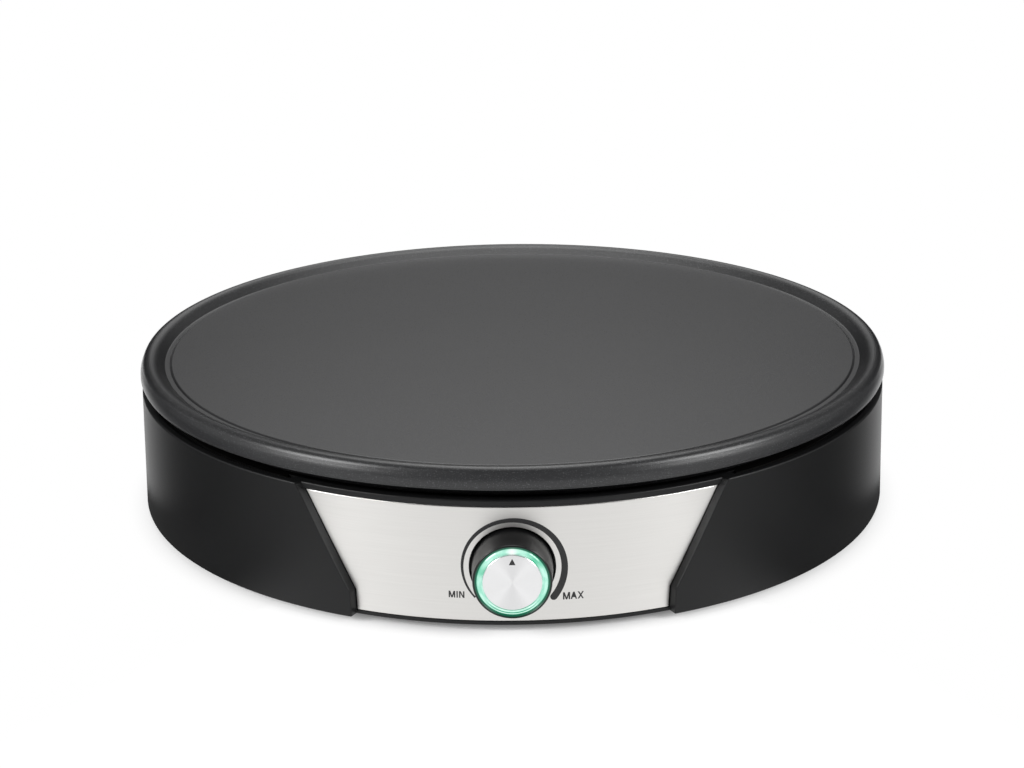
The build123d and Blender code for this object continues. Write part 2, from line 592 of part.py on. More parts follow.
def recess_half(height):
    """Half width of the front recess at the steel: flared above the kink, nearly plain below it."""
    if height > RECESS_KINK:
        share = (height - RECESS_KINK) / (HOUSING_TOP - RECESS_KINK)
        return RECESS_KINK_HALF + (RECESS_TOP_HALF - RECESS_KINK_HALF) * share
    share = (RECESS_KINK - height) / RECESS_KINK_HEIGHT
    return RECESS_KINK_HALF + (RECESS_BOTTOM_HALF - RECESS_KINK_HALF) * share


def cheek_spread(height):
    """How fast the cheeks open towards the front: plain up to the kink, wider above it."""
    share = (height - RECESS_KINK) / (HOUSING_TOP - RECESS_KINK)
    return CHEEK_SPREAD_FOOT + (CHEEK_SPREAD_TOP - CHEEK_SPREAD_FOOT) * max(share, 0)


def recess_block(floor_radius, low, high, slanted):
    """The block that cuts the front recess down to a given radius, with slanted or plain sides."""
    heights = [height for height in (low, RECESS_KINK, high) if low <= height <= high]
    sections = []
    for reach in (PANEL_RADIUS - CUTTER_DEPTH, PANEL_RADIUS + CUTTER_MARGIN):
        right = []
        for height in heights:
            half = recess_half(height)
            if slanted:
                steel_edge = math.sqrt(PANEL_RADIUS ** 2 - half ** 2)
                half += cheek_spread(height) * (reach - steel_edge)
            right.append((half, -reach, height))
        left = [(-x, y, height) for x, y, height in reversed(right)]
        sections.append(make_face(Polyline(*right, *left, close=True)))
    wedge = loft(sections, ruled=True)
    return wedge - rod(floor_radius, low, high)


def housing_shell():
    """The moulded drum: wall, deck and tray in one, with the front recess and the inner bosses."""
    wall_bottom = HOUSING_BOTTOM_RADIUS - HOUSING_WALL
    wall_top = HOUSING_TOP_RADIUS - HOUSING_WALL
    deck_wall = wall_bottom + HOUSING_SLOPE * (DECK_BOTTOM - HOUSING_BASE)
    flange_inner = wall_bottom - BOTTOM_FLANGE_WIDTH
    flange_top = HOUSING_BASE + BOTTOM_FLANGE_HEIGHT
    tray_wall = DECK_INNER_RADIUS + TRAY_THICKNESS
    shell = turned([
        (HOUSING_BOTTOM_RADIUS, HOUSING_BASE),
        (HOUSING_TOP_RADIUS, HOUSING_TOP),
        (wall_top, HOUSING_TOP),
        (wall_top, DECK_TOP),
        (DECK_INNER_RADIUS, DECK_TOP),
        (DECK_INNER_RADIUS, TRAY_TOP),
        (0, TRAY_TOP),
        (0, TRAY_BOTTOM),
        (tray_wall, TRAY_BOTTOM),
        (tray_wall, DECK_BOTTOM),
        (deck_wall, DECK_BOTTOM),
        (wall_bottom + HOUSING_SLOPE * BOTTOM_FLANGE_HEIGHT, flange_top),
        (flange_inner, flange_top),
        (flange_inner, HOUSING_BASE),
    ])
    outer_edge = shell.edges().filter_by(GeomType.CIRCLE).sort_by(Axis.Z)[-2:]
    outer_edge = outer_edge.sort_by(SortBy.RADIUS)[-1]
    shell = fillet(outer_edge, HOUSING_TOP_FILLET)

    front_reach = HOUSING_TOP_RADIUS - HOUSING_TOP_FILLET
    front_width = 2 * (RECESS_TOP_HALF + FRONT_WALL_MARGIN)
    front_wall = tube(front_reach, FRONT_INNER, HOUSING_BASE, HOUSING_TOP)
    front_wall &= block(front_width, front_reach, HOUSING_BASE, HOUSING_TOP, 0, -front_reach / 2)
    shell += front_wall

    pocket_outer = KNOB_HOLE_RADIUS + POCKET_WALL
    pocket = KNOB_AXIS.location * rod(pocket_outer, POCKET_BACK, RECESS_FLOOR - 1)
    pocket_low = COVER_TOP + COVER_CLEARANCE
    pocket &= block(2 * pocket_outer, RECESS_FLOOR, pocket_low, HOUSING_TOP, 0, -RECESS_FLOOR / 2)
    shell += pocket
    shell -= recess_block(BAND_RADIUS, HOUSING_BASE - 1, HOUSING_TOP + 1, slanted=True)
    shell -= recess_block(RECESS_FLOOR, STEEL_BOTTOM, STEEL_TOP, slanted=False)
    shell -= KNOB_AXIS.location * rod(KNOB_HOLE_RADIUS, POCKET_FRONT, PANEL_RADIUS)
    shell -= KNOB_AXIS.location * rod(BUSHING_RADIUS + BUSHING_CLEARANCE, POCKET_BACK, POCKET_FRONT)
    for x, y in LAMPS:
        shell -= KNOB_AXIS.location * rod(LAMP_WINDOW_RADIUS, POCKET_BACK, POCKET_FRONT, x, y)
    for x, y in BOARD_SCREWS:
        shell += KNOB_AXIS.location * rod(BOARD_BOSS_RADIUS, BOARD_FRONT, POCKET_BACK, x, y)
    for x, y in BOARD_SCREWS:
        hole = BOARD_SCREW_RADIUS + THREAD_CLEARANCE
        hole_end = POCKET_BACK + BOARD_SCREW_DEPTH + SCREW_CLEARANCE
        shell -= KNOB_AXIS.location * rod(hole, BOARD_FRONT, hole_end, x, y)

    for x, y in PLATE_BOSSES:
        shell -= rod(PLATE_SCREW_RADIUS + SCREW_CLEARANCE, TRAY_BOTTOM, TRAY_TOP, x, y)
    for x, y in WIRE_HOLES:
        shell -= rod(WIRE_HOLE_RADIUS, TRAY_BOTTOM, TRAY_TOP, x, y)
    for x, y in COLD_ENDS:
        shell -= rod(ELEMENT_RADIUS + COLD_END_CLEARANCE, TRAY_BOTTOM, TRAY_TOP, x, y)
    for x, y in COVER_BOSSES:
        shell += rod(COVER_BOSS_RADIUS, COVER_BOSS_LOW, TRAY_BOTTOM, x, y)
    for x, y in COVER_BOSSES:
        hole = COVER_SCREW_RADIUS + THREAD_CLEARANCE
        shell -= rod(hole, COVER_BOSS_LOW, COVER_BOSS_LOW + COVER_SCREW_DEPTH, x, y)

    shell += block(CLAMP_BLOCK_WIDTH, CLAMP_BLOCK_DEPTH, GLAND_Z, TRAY_BOTTOM, 0, CLAMP_Y)
    shell -= cord_hole()
    for x in (-CLAMP_SCREW_OFFSET, CLAMP_SCREW_OFFSET):
        hole = COVER_SCREW_RADIUS + THREAD_CLEARANCE
        shell -= rod(hole, GLAND_Z, GLAND_Z + COVER_SCREW_DEPTH, x, CLAMP_Y)
    gland_hole = GLAND_SLEEVE_RADIUS + GLAND_CLEARANCE
    shell -= CORD_AXIS.location * rod(gland_hole, wall_top - HOUSING_WALL, HOUSING_BOTTOM_RADIUS)
    return shell


def front_panel():
    """The curved brushed steel sheet, flush in the recess, with the knob's hole."""
    low = STEEL_BOTTOM + PANEL_EDGE_GAP
    high = STEEL_TOP - PANEL_EDGE_GAP
    inner = PANEL_RADIUS - PANEL_THICKNESS
    sheet = tube(PANEL_RADIUS, inner, low, high)
    right = [(recess_half(height) - PANEL_SIDE_SEAM, height) for height in (low, RECESS_KINK, high)]
    left = [(-x, height) for x, height in reversed(right)]
    outline = Polyline(*right, *left, close=True)
    cutter = Plane.XZ * make_face(outline)
    sheet &= extrude(cutter, PANEL_RADIUS)
    sheet -= KNOB_AXIS.location * rod(KNOB_HOLE_RADIUS, POCKET_FRONT, PANEL_RADIUS)
    return sheet


def bottom_cover():
    """The flat cover with its vent slots, foot sockets, screw cups and stiffening rib."""
    cover = rod(COVER_RADIUS, COVER_BASE, COVER_TOP)
    rib_outer = FOOT_CIRCLE - FOOT_RADIUS - COVER_RIB_INSET
    cover += tube(rib_outer, rib_outer - COVER_RIB_WIDTH, COVER_TOP, COVER_TOP + COVER_RIB_HEIGHT)
    for circle, slots in VENT_CIRCLES.items():
        vent = block(VENT_LENGTH, VENT_WIDTH, COVER_BASE, COVER_TOP, circle, 0)
        cover -= [Rot(0, 0, 360.0 * index / slots) * vent for index in range(slots)]
    for x, y in FEET:
        cover -= rod(FOOT_RADIUS + FOOT_CLEARANCE, COVER_BASE, COVER_BASE + FOOT_SOCKET_DEPTH, x, y)
        cover -= rod(FOOT_STEM_RADIUS + FOOT_STEM_CLEARANCE, COVER_BASE, COVER_TOP, x, y)
    head = COVER_SCREW_RADIUS * SCREW_HEAD_RATIO + SCREW_HEAD_CLEARANCE
    for x, y in COVER_BOSSES:
        cover += rod(head + SCREW_CUP_WALL, COVER_TOP, COVER_BOSS_LOW, x, y)
        cover -= rod(COVER_SCREW_RADIUS + SCREW_CLEARANCE, COVER_BASE, COVER_BOSS_LOW, x, y)
        cover -= rod(head, COVER_BASE, COVER_SCREW_SEAT, x, y)
    return cover


def rubber_feet():
    """Push-in rubber feet: pad, stem and barb."""
    feet = []
    pad_top = COVER_BASE + FOOT_SOCKET_DEPTH
    for x, y in FEET:
        pad = rod(FOOT_RADIUS, 0, pad_top, x, y)
        pad = chamfer(pad.faces().sort_by(Axis.Z)[0].edges(), FOOT_CHAMFER)
        barb_low = COVER_TOP + FOOT_BARB_GAP
        barb = Cone(FOOT_BARB_RADIUS, FOOT_BARB_TIP_RADIUS, FOOT_BARB_HEIGHT)
        stem = rod(FOOT_STEM_RADIUS, pad_top, barb_low, x, y)
        feet.append(pad + stem + Pos(x, y, barb_low + FOOT_BARB_HEIGHT / 2) * barb)
    return Compound(feet)


def cover_screws():
    """Screws that hold the bottom cover to the housing's bosses, heads sunk in the cover."""
    length = COVER_BOSS_LOW + COVER_SCREW_DEPTH - SCREW_CLEARANCE - COVER_SCREW_SEAT
    screw = pan_screw(COVER_SCREW_RADIUS, length)
    return Compound([Pos(x, y, COVER_SCREW_SEAT) * screw for x, y in COVER_BOSSES])


def knob_shell():
    """The knob's black skirt with three spokes to its hub, which grips the spindle's flat."""
    skirt_inner = LIGHT_RING_OUTER + GLUE_GAP
    skirt = turned([
        (skirt_inner, KNOB_BACK),
        (KNOB_BASE_RADIUS, KNOB_BACK),
        (KNOB_FRONT_RADIUS, RING_FRONT),
        (skirt_inner, RING_FRONT),
    ])
    rim = skirt.edges().filter_by(GeomType.CIRCLE).sort_by(Axis.Z)[-2:].sort_by(SortBy.RADIUS)[-1]
    skirt = fillet(rim, KNOB_EDGE_FILLET)
    step = CAP_RADIUS - CAP_WALL - GLUE_GAP
    hub = turned([
        (0, HUB_BACK),
        (HUB_RADIUS, HUB_BACK),
        (HUB_RADIUS, CAP_SKIRT_BACK),
        (step, CAP_SKIRT_BACK),
        (step, HUB_FRONT),
        (0, HUB_FRONT),
    ])
    knob = skirt + hub
    spoke_outer = (skirt_inner + KNOB_FRONT_RADIUS) / 2
    spoke_length = spoke_outer - SPOKE_INNER
    spoke_middle = (spoke_outer + SPOKE_INNER) / 2
    spoke = block(spoke_length, SPOKE_WIDTH, HUB_BACK, HUB_BACK + SPOKE_DEPTH, spoke_middle, 0)
    for index in range(SPOKE_COUNT):
        knob += Rot(0, 0, SPOKE_START + 360.0 * index / SPOKE_COUNT) * spoke
    bore = SPINDLE_RADIUS + SPINDLE_CLEARANCE
    flat = SPINDLE_RADIUS - SPINDLE_FLAT + SPINDLE_CLEARANCE
    hole = rod(bore, HUB_BACK, SPINDLE_FRONT + SPINDLE_END_GAP)
    hole -= block(2 * bore, bore, HUB_BACK, HUB_FRONT, 0, flat + bore / 2)
    knob -= hole
    return KNOB_AXIS.location * knob


def knob_light_ring():
    """The clear ring: its back takes the lamps' light and its coved front shows it."""
    middle = (LIGHT_RING_OUTER + LIGHT_RING_INNER) / 2
    ring = turned([
        (LIGHT_RING_INNER, KNOB_BACK),
        (LIGHT_RING_OUTER, KNOB_BACK),
        (LIGHT_RING_OUTER, RING_FRONT - LIGHT_RING_COVE),
        (middle + LIGHT_RING_LAND / 2, RING_FRONT),
        (middle - LIGHT_RING_LAND / 2, RING_FRONT),
        (LIGHT_RING_INNER, RING_FRONT - LIGHT_RING_COVE),
    ])
    slot_width = SPOKE_WIDTH + 2 * SPOKE_CLEARANCE
    slot_top = HUB_BACK + SPOKE_DEPTH + SPOKE_CLEARANCE
    slot = block(SPOKE_INNER, slot_width, KNOB_BACK, slot_top, LIGHT_RING_OUTER, 0)
    for index in range(SPOKE_COUNT):
        ring -= Rot(0, 0, SPOKE_START + 360.0 * index / SPOKE_COUNT) * slot
    return KNOB_AXIS.location * ring


def knob_cap():
    """The turned aluminium cap over the hub."""
    cap = turned([
        (0, CAP_BACK),
        (CAP_RADIUS - CAP_WALL, CAP_BACK),
        (CAP_RADIUS - CAP_WALL, CAP_SKIRT_BACK + GLUE_GAP),
        (CAP_RADIUS, CAP_SKIRT_BACK + GLUE_GAP),
        (CAP_RADIUS, KNOB_FACE - CAP_BEVEL),
        (CAP_RADIUS - CAP_BEVEL, KNOB_FACE),
        (0, KNOB_FACE),
    ])
    return KNOB_AXIS.location * cap


def thermostat_spindle():
    """The spindle, with a flat where the knob grips it."""
    spindle = rod(SPINDLE_RADIUS, THERMOSTAT_FRONT - SPINDLE_DEPTH, SPINDLE_FRONT)
    spindle = chamfer(spindle.faces().sort_by(Axis.Z)[-1].edges(), SPINDLE_CHAMFER)
    flat = SPINDLE_RADIUS - SPINDLE_FLAT
    width = 2 * SPINDLE_RADIUS
    spindle -= block(width, SPINDLE_RADIUS, HUB_BACK, SPINDLE_FRONT, 0, flat + SPINDLE_RADIUS / 2)
    return KNOB_AXIS.location * spindle


def thermostat_body():
    """The control: a box with a collar and threaded bushing in front and two blades behind."""
    body = block(THERMOSTAT_WIDTH, THERMOSTAT_HEIGHT, THERMOSTAT_BACK, THERMOSTAT_FRONT)
    body = fillet(body.edges().filter_by(Axis.Z), THERMOSTAT_FILLET)
    body += rod(COLLAR_RADIUS, THERMOSTAT_FRONT, POCKET_BACK)
    body += rod(BUSHING_RADIUS, THERMOSTAT_FRONT, BUSHING_FRONT)
    bore_back = THERMOSTAT_FRONT - SPINDLE_DEPTH - SPINDLE_END_GAP
    body -= rod(SPINDLE_RADIUS + SPINDLE_CLEARANCE, bore_back, BUSHING_FRONT)
    for x in (-BLADE_OFFSET, BLADE_OFFSET):
        body += block(BLADE_WIDTH, BLADE_THICKNESS, THERMOSTAT_BACK - BLADE_LENGTH, THERMOSTAT_BACK, x, 0)
    return KNOB_AXIS.location * body


def thermostat_nut():
    """The hexagon nut that holds the control against the pocket's floor."""
    nut = extrude(RegularPolygon(NUT_ACROSS_FLATS / 2, 6, major_radius=False), NUT_THICKNESS)
    nut -= rod(BUSHING_RADIUS + THREAD_CLEARANCE, 0, NUT_THICKNESS)
    return KNOB_AXIS.location * (Pos(0, 0, POCKET_FRONT) * nut)


def lamp_board():
    """The round circuit board behind the knob's pocket."""
    board = tube(BOARD_OUTER_RADIUS, BOARD_INNER_RADIUS, BOARD_BACK, BOARD_FRONT)
    for x, y in BOARD_SCREWS:
        board -= rod(BOARD_SCREW_RADIUS + BOARD_SCREW_CLEARANCE, BOARD_BACK, BOARD_FRONT, x, y)
    return KNOB_AXIS.location * board


def lamp_leds():
    """Round lamps that stand in the windows of the pocket's floor."""
    lamps = []
    for x, y in LAMPS:
        dome = BOARD_FRONT + LAMP_LENGTH - LAMP_RADIUS
        lamp = rod(LAMP_FLANGE_RADIUS, BOARD_FRONT, BOARD_FRONT + LAMP_FLANGE_THICKNESS, x, y)
        lamp += rod(LAMP_RADIUS, BOARD_FRONT, dome, x, y)
        lamp += Pos(x, y, dome) * Sphere(LAMP_RADIUS)
        lamps.append(KNOB_AXIS.location * lamp)
    return Compound(lamps)


def board_screws():
    """Small screws that hold the lamp board."""
    screws = []
    for x, y in BOARD_SCREWS:
        screw = rod(BOARD_SCREW_HEAD_RADIUS, BOARD_BACK - BOARD_SCREW_HEAD_HEIGHT, BOARD_BACK, x, y)
        screw += rod(BOARD_SCREW_RADIUS, BOARD_BACK, POCKET_BACK + BOARD_SCREW_DEPTH, x, y)
        screws.append(KNOB_AXIS.location * screw)
    return Compound(screws)


def sensor_bulb():
    """The thermostat's feeler, lying under the plate."""
    middle = BULB_FRONT_Y + BULB_LENGTH / 2
    bulb = Pos(BULB_X, middle, BULB_Z) * Rot(90, 0, 0) * Cylinder(BULB_RADIUS, BULB_LENGTH)
    return fillet(bulb.edges().filter_by(GeomType.CIRCLE), 1.0)


def strap(x, middle_y, core_radius, core_z, side):
    """A bent strap over a round piece, with one screwed foot against the plate."""
    inner = core_radius + CLIP_GAP
    outer = inner + CLIP_THICKNESS
    low_y = middle_y - CLIP_WIDTH / 2
    foot_x = x + side * (outer + CLIP_FOOT / 2 - CLIP_THICKNESS / 2)
    hoop = Cylinder(outer, CLIP_WIDTH) - Cylinder(inner, CLIP_WIDTH)
    hoop = Pos(x, middle_y, core_z) * Rot(90, 0, 0) * hoop
    hoop -= block(3 * outer, CLIP_WIDTH + 1, core_z, UNDERSIDE + 10, x, middle_y)
    legs = block(2 * outer, CLIP_WIDTH, core_z, UNDERSIDE, x, middle_y)
    legs -= block(2 * inner, CLIP_WIDTH, core_z, UNDERSIDE, x, middle_y)
    foot_low = UNDERSIDE - CLIP_THICKNESS
    foot = block(CLIP_FOOT + CLIP_THICKNESS, CLIP_WIDTH, foot_low, UNDERSIDE, foot_x, middle_y)
    hole_x = x + side * (outer + CLIP_FOOT / 2)
    foot -= rod(CLIP_SCREW_RADIUS + SCREW_CLEARANCE, foot_low, UNDERSIDE, hole_x, middle_y)
    return hoop + legs + foot


def bulb_clip():
    """The strap that holds the feeler."""
    return strap(BULB_X, BULB_FRONT_Y + BULB_LENGTH / 2, BULB_RADIUS, BULB_Z, -1)


def fuse_clip():
    """The strap that holds the thermal fuse."""
    return strap(FUSE_X, FUSE_FRONT_Y + FUSE_LENGTH / 2, FUSE_RADIUS, FUSE_Z, 1)


def clip_screws():
    """The two screws of the straps."""
    seat = UNDERSIDE - CLIP_THICKNESS
    screw = pan_screw(CLIP_SCREW_RADIUS, CLIP_SCREW_LENGTH)
    return Compound([Pos(x, y, seat) * screw for x, y in clip_screw_places()])


def thermal_fuse():
    """The one-shot thermal fuse in its sleeve."""
    middle = FUSE_FRONT_Y + FUSE_LENGTH / 2
    fuse = Pos(FUSE_X, middle, FUSE_Z) * Rot(90, 0, 0) * Cylinder(FUSE_RADIUS, FUSE_LENGTH)
    return chamfer(fuse.edges().filter_by(GeomType.CIRCLE), 0.5)


def earth_screw():
    """The screw that earths the plate."""
    seat = UNDERSIDE - EARTH_PAD_HEIGHT
    return Pos(EARTH_X, EARTH_Y, seat) * pan_screw(PLATE_SCREW_RADIUS, EARTH_SCREW_LENGTH)


def terminal_block():
    """The three-pole block under the tray, with a tower for each pole."""
    low = TRAY_BOTTOM - TERMINAL_HEIGHT
    body = block(TERMINAL_WIDTH, TERMINAL_DEPTH, low, TRAY_BOTTOM, 0, TERMINAL_Y)
    for pole in (-1, 0, 1):
        x = pole * POLE_PITCH
        tower_low = low - TERMINAL_TOWER_HEIGHT
        body += rod(TERMINAL_TOWER_RADIUS, tower_low, low, x, TERMINAL_Y)
        body -= rod(POLE_SCREW_RADIUS + POLE_SCREW_CLEARANCE, tower_low, low + POLE_SCREW_SINK, x, TERMINAL_Y)
    return body


def terminal_screws():
    """The clamping screws in the towers of the terminal block."""
    low = TRAY_BOTTOM - TERMINAL_HEIGHT
    screws = []
    for pole in (-1, 0, 1):
        x = pole * POLE_PITCH
        screws.append(rod(POLE_SCREW_RADIUS, low - POLE_SCREW_HEIGHT, low + POLE_SCREW_SINK, x, TERMINAL_Y))
    return Compound(screws)


def cord_hole():
    """The hole between the clamp's block and bar, on the cord's axis."""
    hole = rod(CLAMP_HOLE_RADIUS, CLAMP_Y - CLAMP_BLOCK_DEPTH, CLAMP_Y + CLAMP_BLOCK_DEPTH)
    return CORD_AXIS.location * hole


def cord_gland():
    """The bushing in the back wall: nose and flange outside, sleeve and lip inside."""
    wall = HOUSING_BOTTOM_RADIUS + HOUSING_SLOPE * (GLAND_HEIGHT - GLAND_FLANGE_RADIUS)
    lip = GLAND_SLEEVE_RADIUS + GLAND_LIP
    wall_inside = HOUSING_BOTTOM_RADIUS + HOUSING_SLOPE * (GLAND_HEIGHT + lip) - HOUSING_WALL
    lip_front = math.sqrt(wall_inside ** 2 - lip ** 2) - GLAND_SEAT_GAP
    inner_end = lip_front - GLAND_INNER_LENGTH
    seat = wall + GLAND_SEAT_GAP
    flange_end = seat + GLAND_FLANGE_THICKNESS
    gland = turned([
        (GLAND_BORE, inner_end),
        (GLAND_SLEEVE_RADIUS, inner_end),
        (lip, lip_front - GLAND_LIP_WIDTH / 2),
        (lip, lip_front),
        (GLAND_SLEEVE_RADIUS, lip_front),
        (GLAND_SLEEVE_RADIUS, seat),
        (GLAND_FLANGE_RADIUS, seat),
        (GLAND_FLANGE_RADIUS, flange_end - GLAND_FLANGE_BEVEL),
        (GLAND_FLANGE_RADIUS - GLAND_FLANGE_BEVEL, flange_end),
        (GLAND_SLEEVE_RADIUS, flange_end),
        (GLAND_NOSE_RADIUS, GLAND_NOSE_END),
        (GLAND_BORE, GLAND_NOSE_END),
    ])
    return CORD_AXIS.location * gland


def cord_clamp():
    """The bar that clamps the cord against the housing's block."""
    bar = block(CLAMP_BLOCK_WIDTH, CLAMP_BLOCK_DEPTH, GLAND_Z - CLAMP_BAR_HEIGHT, GLAND_Z, 0, CLAMP_Y)
    bar = fillet(bar.edges().filter_by(Axis.Z), CLAMP_FILLET)
    bar -= cord_hole()
    for x in (-CLAMP_SCREW_OFFSET, CLAMP_SCREW_OFFSET):
        bar -= rod(COVER_SCREW_RADIUS + SCREW_CLEARANCE, GLAND_Z - CLAMP_BAR_HEIGHT, GLAND_Z, x, CLAMP_Y)
    return bar


def clamp_screws():
    """The two screws of the cord clamp."""
    seat = GLAND_Z - CLAMP_BAR_HEIGHT
    screw = pan_screw(COVER_SCREW_RADIUS, CLAMP_BAR_HEIGHT + COVER_SCREW_DEPTH - SCREW_CLEARANCE)
    return Compound([Pos(x, CLAMP_Y, seat) * screw for x in (-CLAMP_SCREW_OFFSET, CLAMP_SCREW_OFFSET)])


WIRE_Z = TRAY_BOTTOM - TERMINAL_HEIGHT / 2 - 2
BLOCK_FRONT = TERMINAL_Y - TERMINAL_DEPTH / 2
BLADE_BACK_Y = -(THERMOSTAT_BACK - BLADE_LENGTH)


def live_lead():
    """From the block's live pole to the thermostat."""
    x = -BLADE_OFFSET
    return wire([
        (x, BLADE_BACK_Y, KNOB_Z),
        (x, BLADE_BACK_Y + 12, KNOB_Z),
        (x - 14, BLADE_BACK_Y + 34, KNOB_Z - 9),
        (-50, -46, KNOB_Z - 9),
        (-52, 10, KNOB_Z - 4),
        (-36, 58, WIRE_Z),
        (-POLE_PITCH, 70, WIRE_Z),
        (-POLE_PITCH, BLOCK_FRONT, WIRE_Z),
    ], WIRE_RADIUS, WIRE_BEND)


def element_blade_end():
    """The back end of the right-hand element blade."""
    x, y = COLD_ENDS[0]
    return x, y + BLADE_LENGTH + BLADE_TAIL, BLADE_TOP - BLADE_THICKNESS / 2


def switched_lead():
    """From the thermostat back to the element's right-hand blade."""
    x, y, z = element_blade_end()
    turn_y = y + 30
    return wire([
        (BLADE_OFFSET, BLADE_BACK_Y, KNOB_Z),
        (BLADE_OFFSET, turn_y, KNOB_Z),
        (x + 2, turn_y, (KNOB_Z + z) / 2),
        (x, y + 14, z),
        (x, y, z),
    ], WIRE_RADIUS, 5.0)


def fuse_lead():
    """From the element's left-hand blade up through the tray to the front of the fuse."""
    x, y, z = element_blade_end()
    return wire([
        (-x, y, z),
        (-x, y + 13, z),
        (FUSE_X, FUSE_DROP_FRONT_Y, z + 1),
        (FUSE_X, FUSE_DROP_FRONT_Y, FUSE_Z),
        (FUSE_X, FUSE_FRONT_Y, FUSE_Z),
    ], WIRE_RADIUS, 4.5)


def neutral_lead():
    """From the back of the fuse down through the tray to the block's neutral pole."""
    return wire([
        (FUSE_X, FUSE_FRONT_Y + FUSE_LENGTH, FUSE_Z),
        (FUSE_X, FUSE_DROP_BACK_Y, FUSE_Z),
        (FUSE_X, FUSE_DROP_BACK_Y, WIRE_Z),
        (-20, 24, WIRE_Z),
        (0, 48, WIRE_Z),
        (0, BLOCK_FRONT, WIRE_Z),
    ], WIRE_RADIUS, 6.0)


def earth_lead():
    """From the block's earth pole up through the tray to the earth screw."""
    head = PLATE_SCREW_RADIUS * SCREW_HEAD_RATIO
    lug_z = UNDERSIDE - EARTH_PAD_HEIGHT - WIRE_RADIUS - WIRE_CLEARANCE
    return wire([
        (POLE_PITCH, BLOCK_FRONT, WIRE_Z),
        (POLE_PITCH, BLOCK_FRONT - 14, WIRE_Z),
        (EARTH_X, EARTH_DROP_Y - 3, WIRE_Z - 2),
        (EARTH_X, EARTH_DROP_Y, lug_z),
        (EARTH_X, EARTH_Y + head, lug_z),
    ], WIRE_RADIUS, 3.5)


def lamp_leads():
    """The lamp board's two thin wires, under the thermostat to the terminal block."""
    leads = []
    low = KNOB_Z - THERMOSTAT_HEIGHT / 2 - 2
    tower = TRAY_BOTTOM - TERMINAL_HEIGHT
    for side in (-1, 1):
        x = side * LAMP_WIRE_OFFSET
        leads.append(wire([
            (x, -BOARD_BACK, low),
            (x, -THERMOSTAT_BACK + 6, low),
            (x + 14, -50, low),
            (x - 6, 0, low),
            (x + 8, 50, low),
            (side * POLE_PITCH / 2, TERMINAL_Y - 12, low),
            (side * POLE_PITCH / 2, TERMINAL_Y, low + 6),
            (side * POLE_PITCH / 2, TERMINAL_Y, tower),
        ], LAMP_WIRE_RADIUS, 4.0))
    return Compound(leads)


def capillary_tube():
    """The feeler's thin tube, down through the tray to the thermostat's back."""
    entry = KNOB_Z + THERMOSTAT_HEIGHT / 2 - 3
    return wire([
        (BULB_X, BULB_FRONT_Y, BULB_Z),
        (BULB_X, CAPILLARY_DROP_Y, BULB_Z),
        (BULB_X, CAPILLARY_DROP_Y, entry),
        (4, -76, entry),
        (0, -96, entry),
        (0, -THERMOSTAT_BACK, entry),
    ], CAPILLARY_RADIUS, 6.0)


NODES = {
    "cooking_plate": cooking_plate,
    "heating_element": heating_element,
    "element_insulators": element_insulators,
    "element_blades": element_blades,
    "heat_shield": heat_shield,
    "plate_spacers": plate_spacers,
    "plate_screws": plate_screws,
    "housing_shell": housing_shell,
    "front_panel": front_panel,
    "bottom_cover": bottom_cover,
    "rubber_feet": rubber_feet,
    "cover_screws": cover_screws,
    "knob_shell": knob_shell,
    "knob_light_ring": knob_light_ring,
    "knob_cap": knob_cap,
    "thermostat_spindle": thermostat_spindle,
    "thermostat_body": thermostat_body,
    "thermostat_nut": thermostat_nut,
    "lamp_board": lamp_board,
    "lamp_leds": lamp_leds,
    "board_screws": board_screws,
    "sensor_bulb": sensor_bulb,
    "capillary_tube": capillary_tube,
    "bulb_clip": bulb_clip,
    "thermal_fuse": thermal_fuse,
    "fuse_clip": fuse_clip,
    "clip_screws": clip_screws,
    "earth_screw": earth_screw,
    "terminal_block": terminal_block,
    "terminal_screws": terminal_screws,
    "cord_gland": cord_gland,
    "cord_clamp": cord_clamp,
    "clamp_screws": clamp_screws,
    "live_lead": live_lead,
    "switched_lead": switched_lead,
    "fuse_lead": fuse_lead,
    "neutral_lead": neutral_lead,
    "earth_lead": earth_lead,
    "lamp_leads": lamp_leads,
}

os.makedirs("parts", exist_ok=True)
for name, make in NODES.items():
    export_step(make(), f"parts/{name}.step")
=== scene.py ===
import bmesh
import bpy
import math
from mathutils import Matrix, Vector
from mathutils.geometry import delaunay_2d_cdt


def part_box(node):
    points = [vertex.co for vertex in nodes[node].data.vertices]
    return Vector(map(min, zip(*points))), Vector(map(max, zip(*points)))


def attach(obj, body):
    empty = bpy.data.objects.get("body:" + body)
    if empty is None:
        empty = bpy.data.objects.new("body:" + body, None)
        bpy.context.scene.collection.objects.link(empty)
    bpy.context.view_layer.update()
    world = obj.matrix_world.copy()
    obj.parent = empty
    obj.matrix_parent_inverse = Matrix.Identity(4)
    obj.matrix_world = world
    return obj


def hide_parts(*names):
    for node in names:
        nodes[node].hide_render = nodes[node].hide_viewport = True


# Looks for the electric crepe maker: fine skins over the plate, the drum, the steel, the knob and the
# cord's bushing, materials for every CAD node, the printed scale with its two words, the cap's pointer, the
# studio and the camera. Metres, in the part's own frame: +Z up, the knob faces -Y.

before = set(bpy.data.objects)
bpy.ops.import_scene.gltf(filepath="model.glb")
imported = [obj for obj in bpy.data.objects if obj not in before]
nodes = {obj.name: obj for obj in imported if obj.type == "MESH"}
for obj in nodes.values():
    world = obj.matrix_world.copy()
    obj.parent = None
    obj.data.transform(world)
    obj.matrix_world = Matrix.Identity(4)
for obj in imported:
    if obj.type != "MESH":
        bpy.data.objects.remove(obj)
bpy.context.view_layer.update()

MM = 0.001


def box_mm(node):
    """A node's lowest and highest corners in millimetres."""
    low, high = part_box(node)
    return low / MM, high / MM


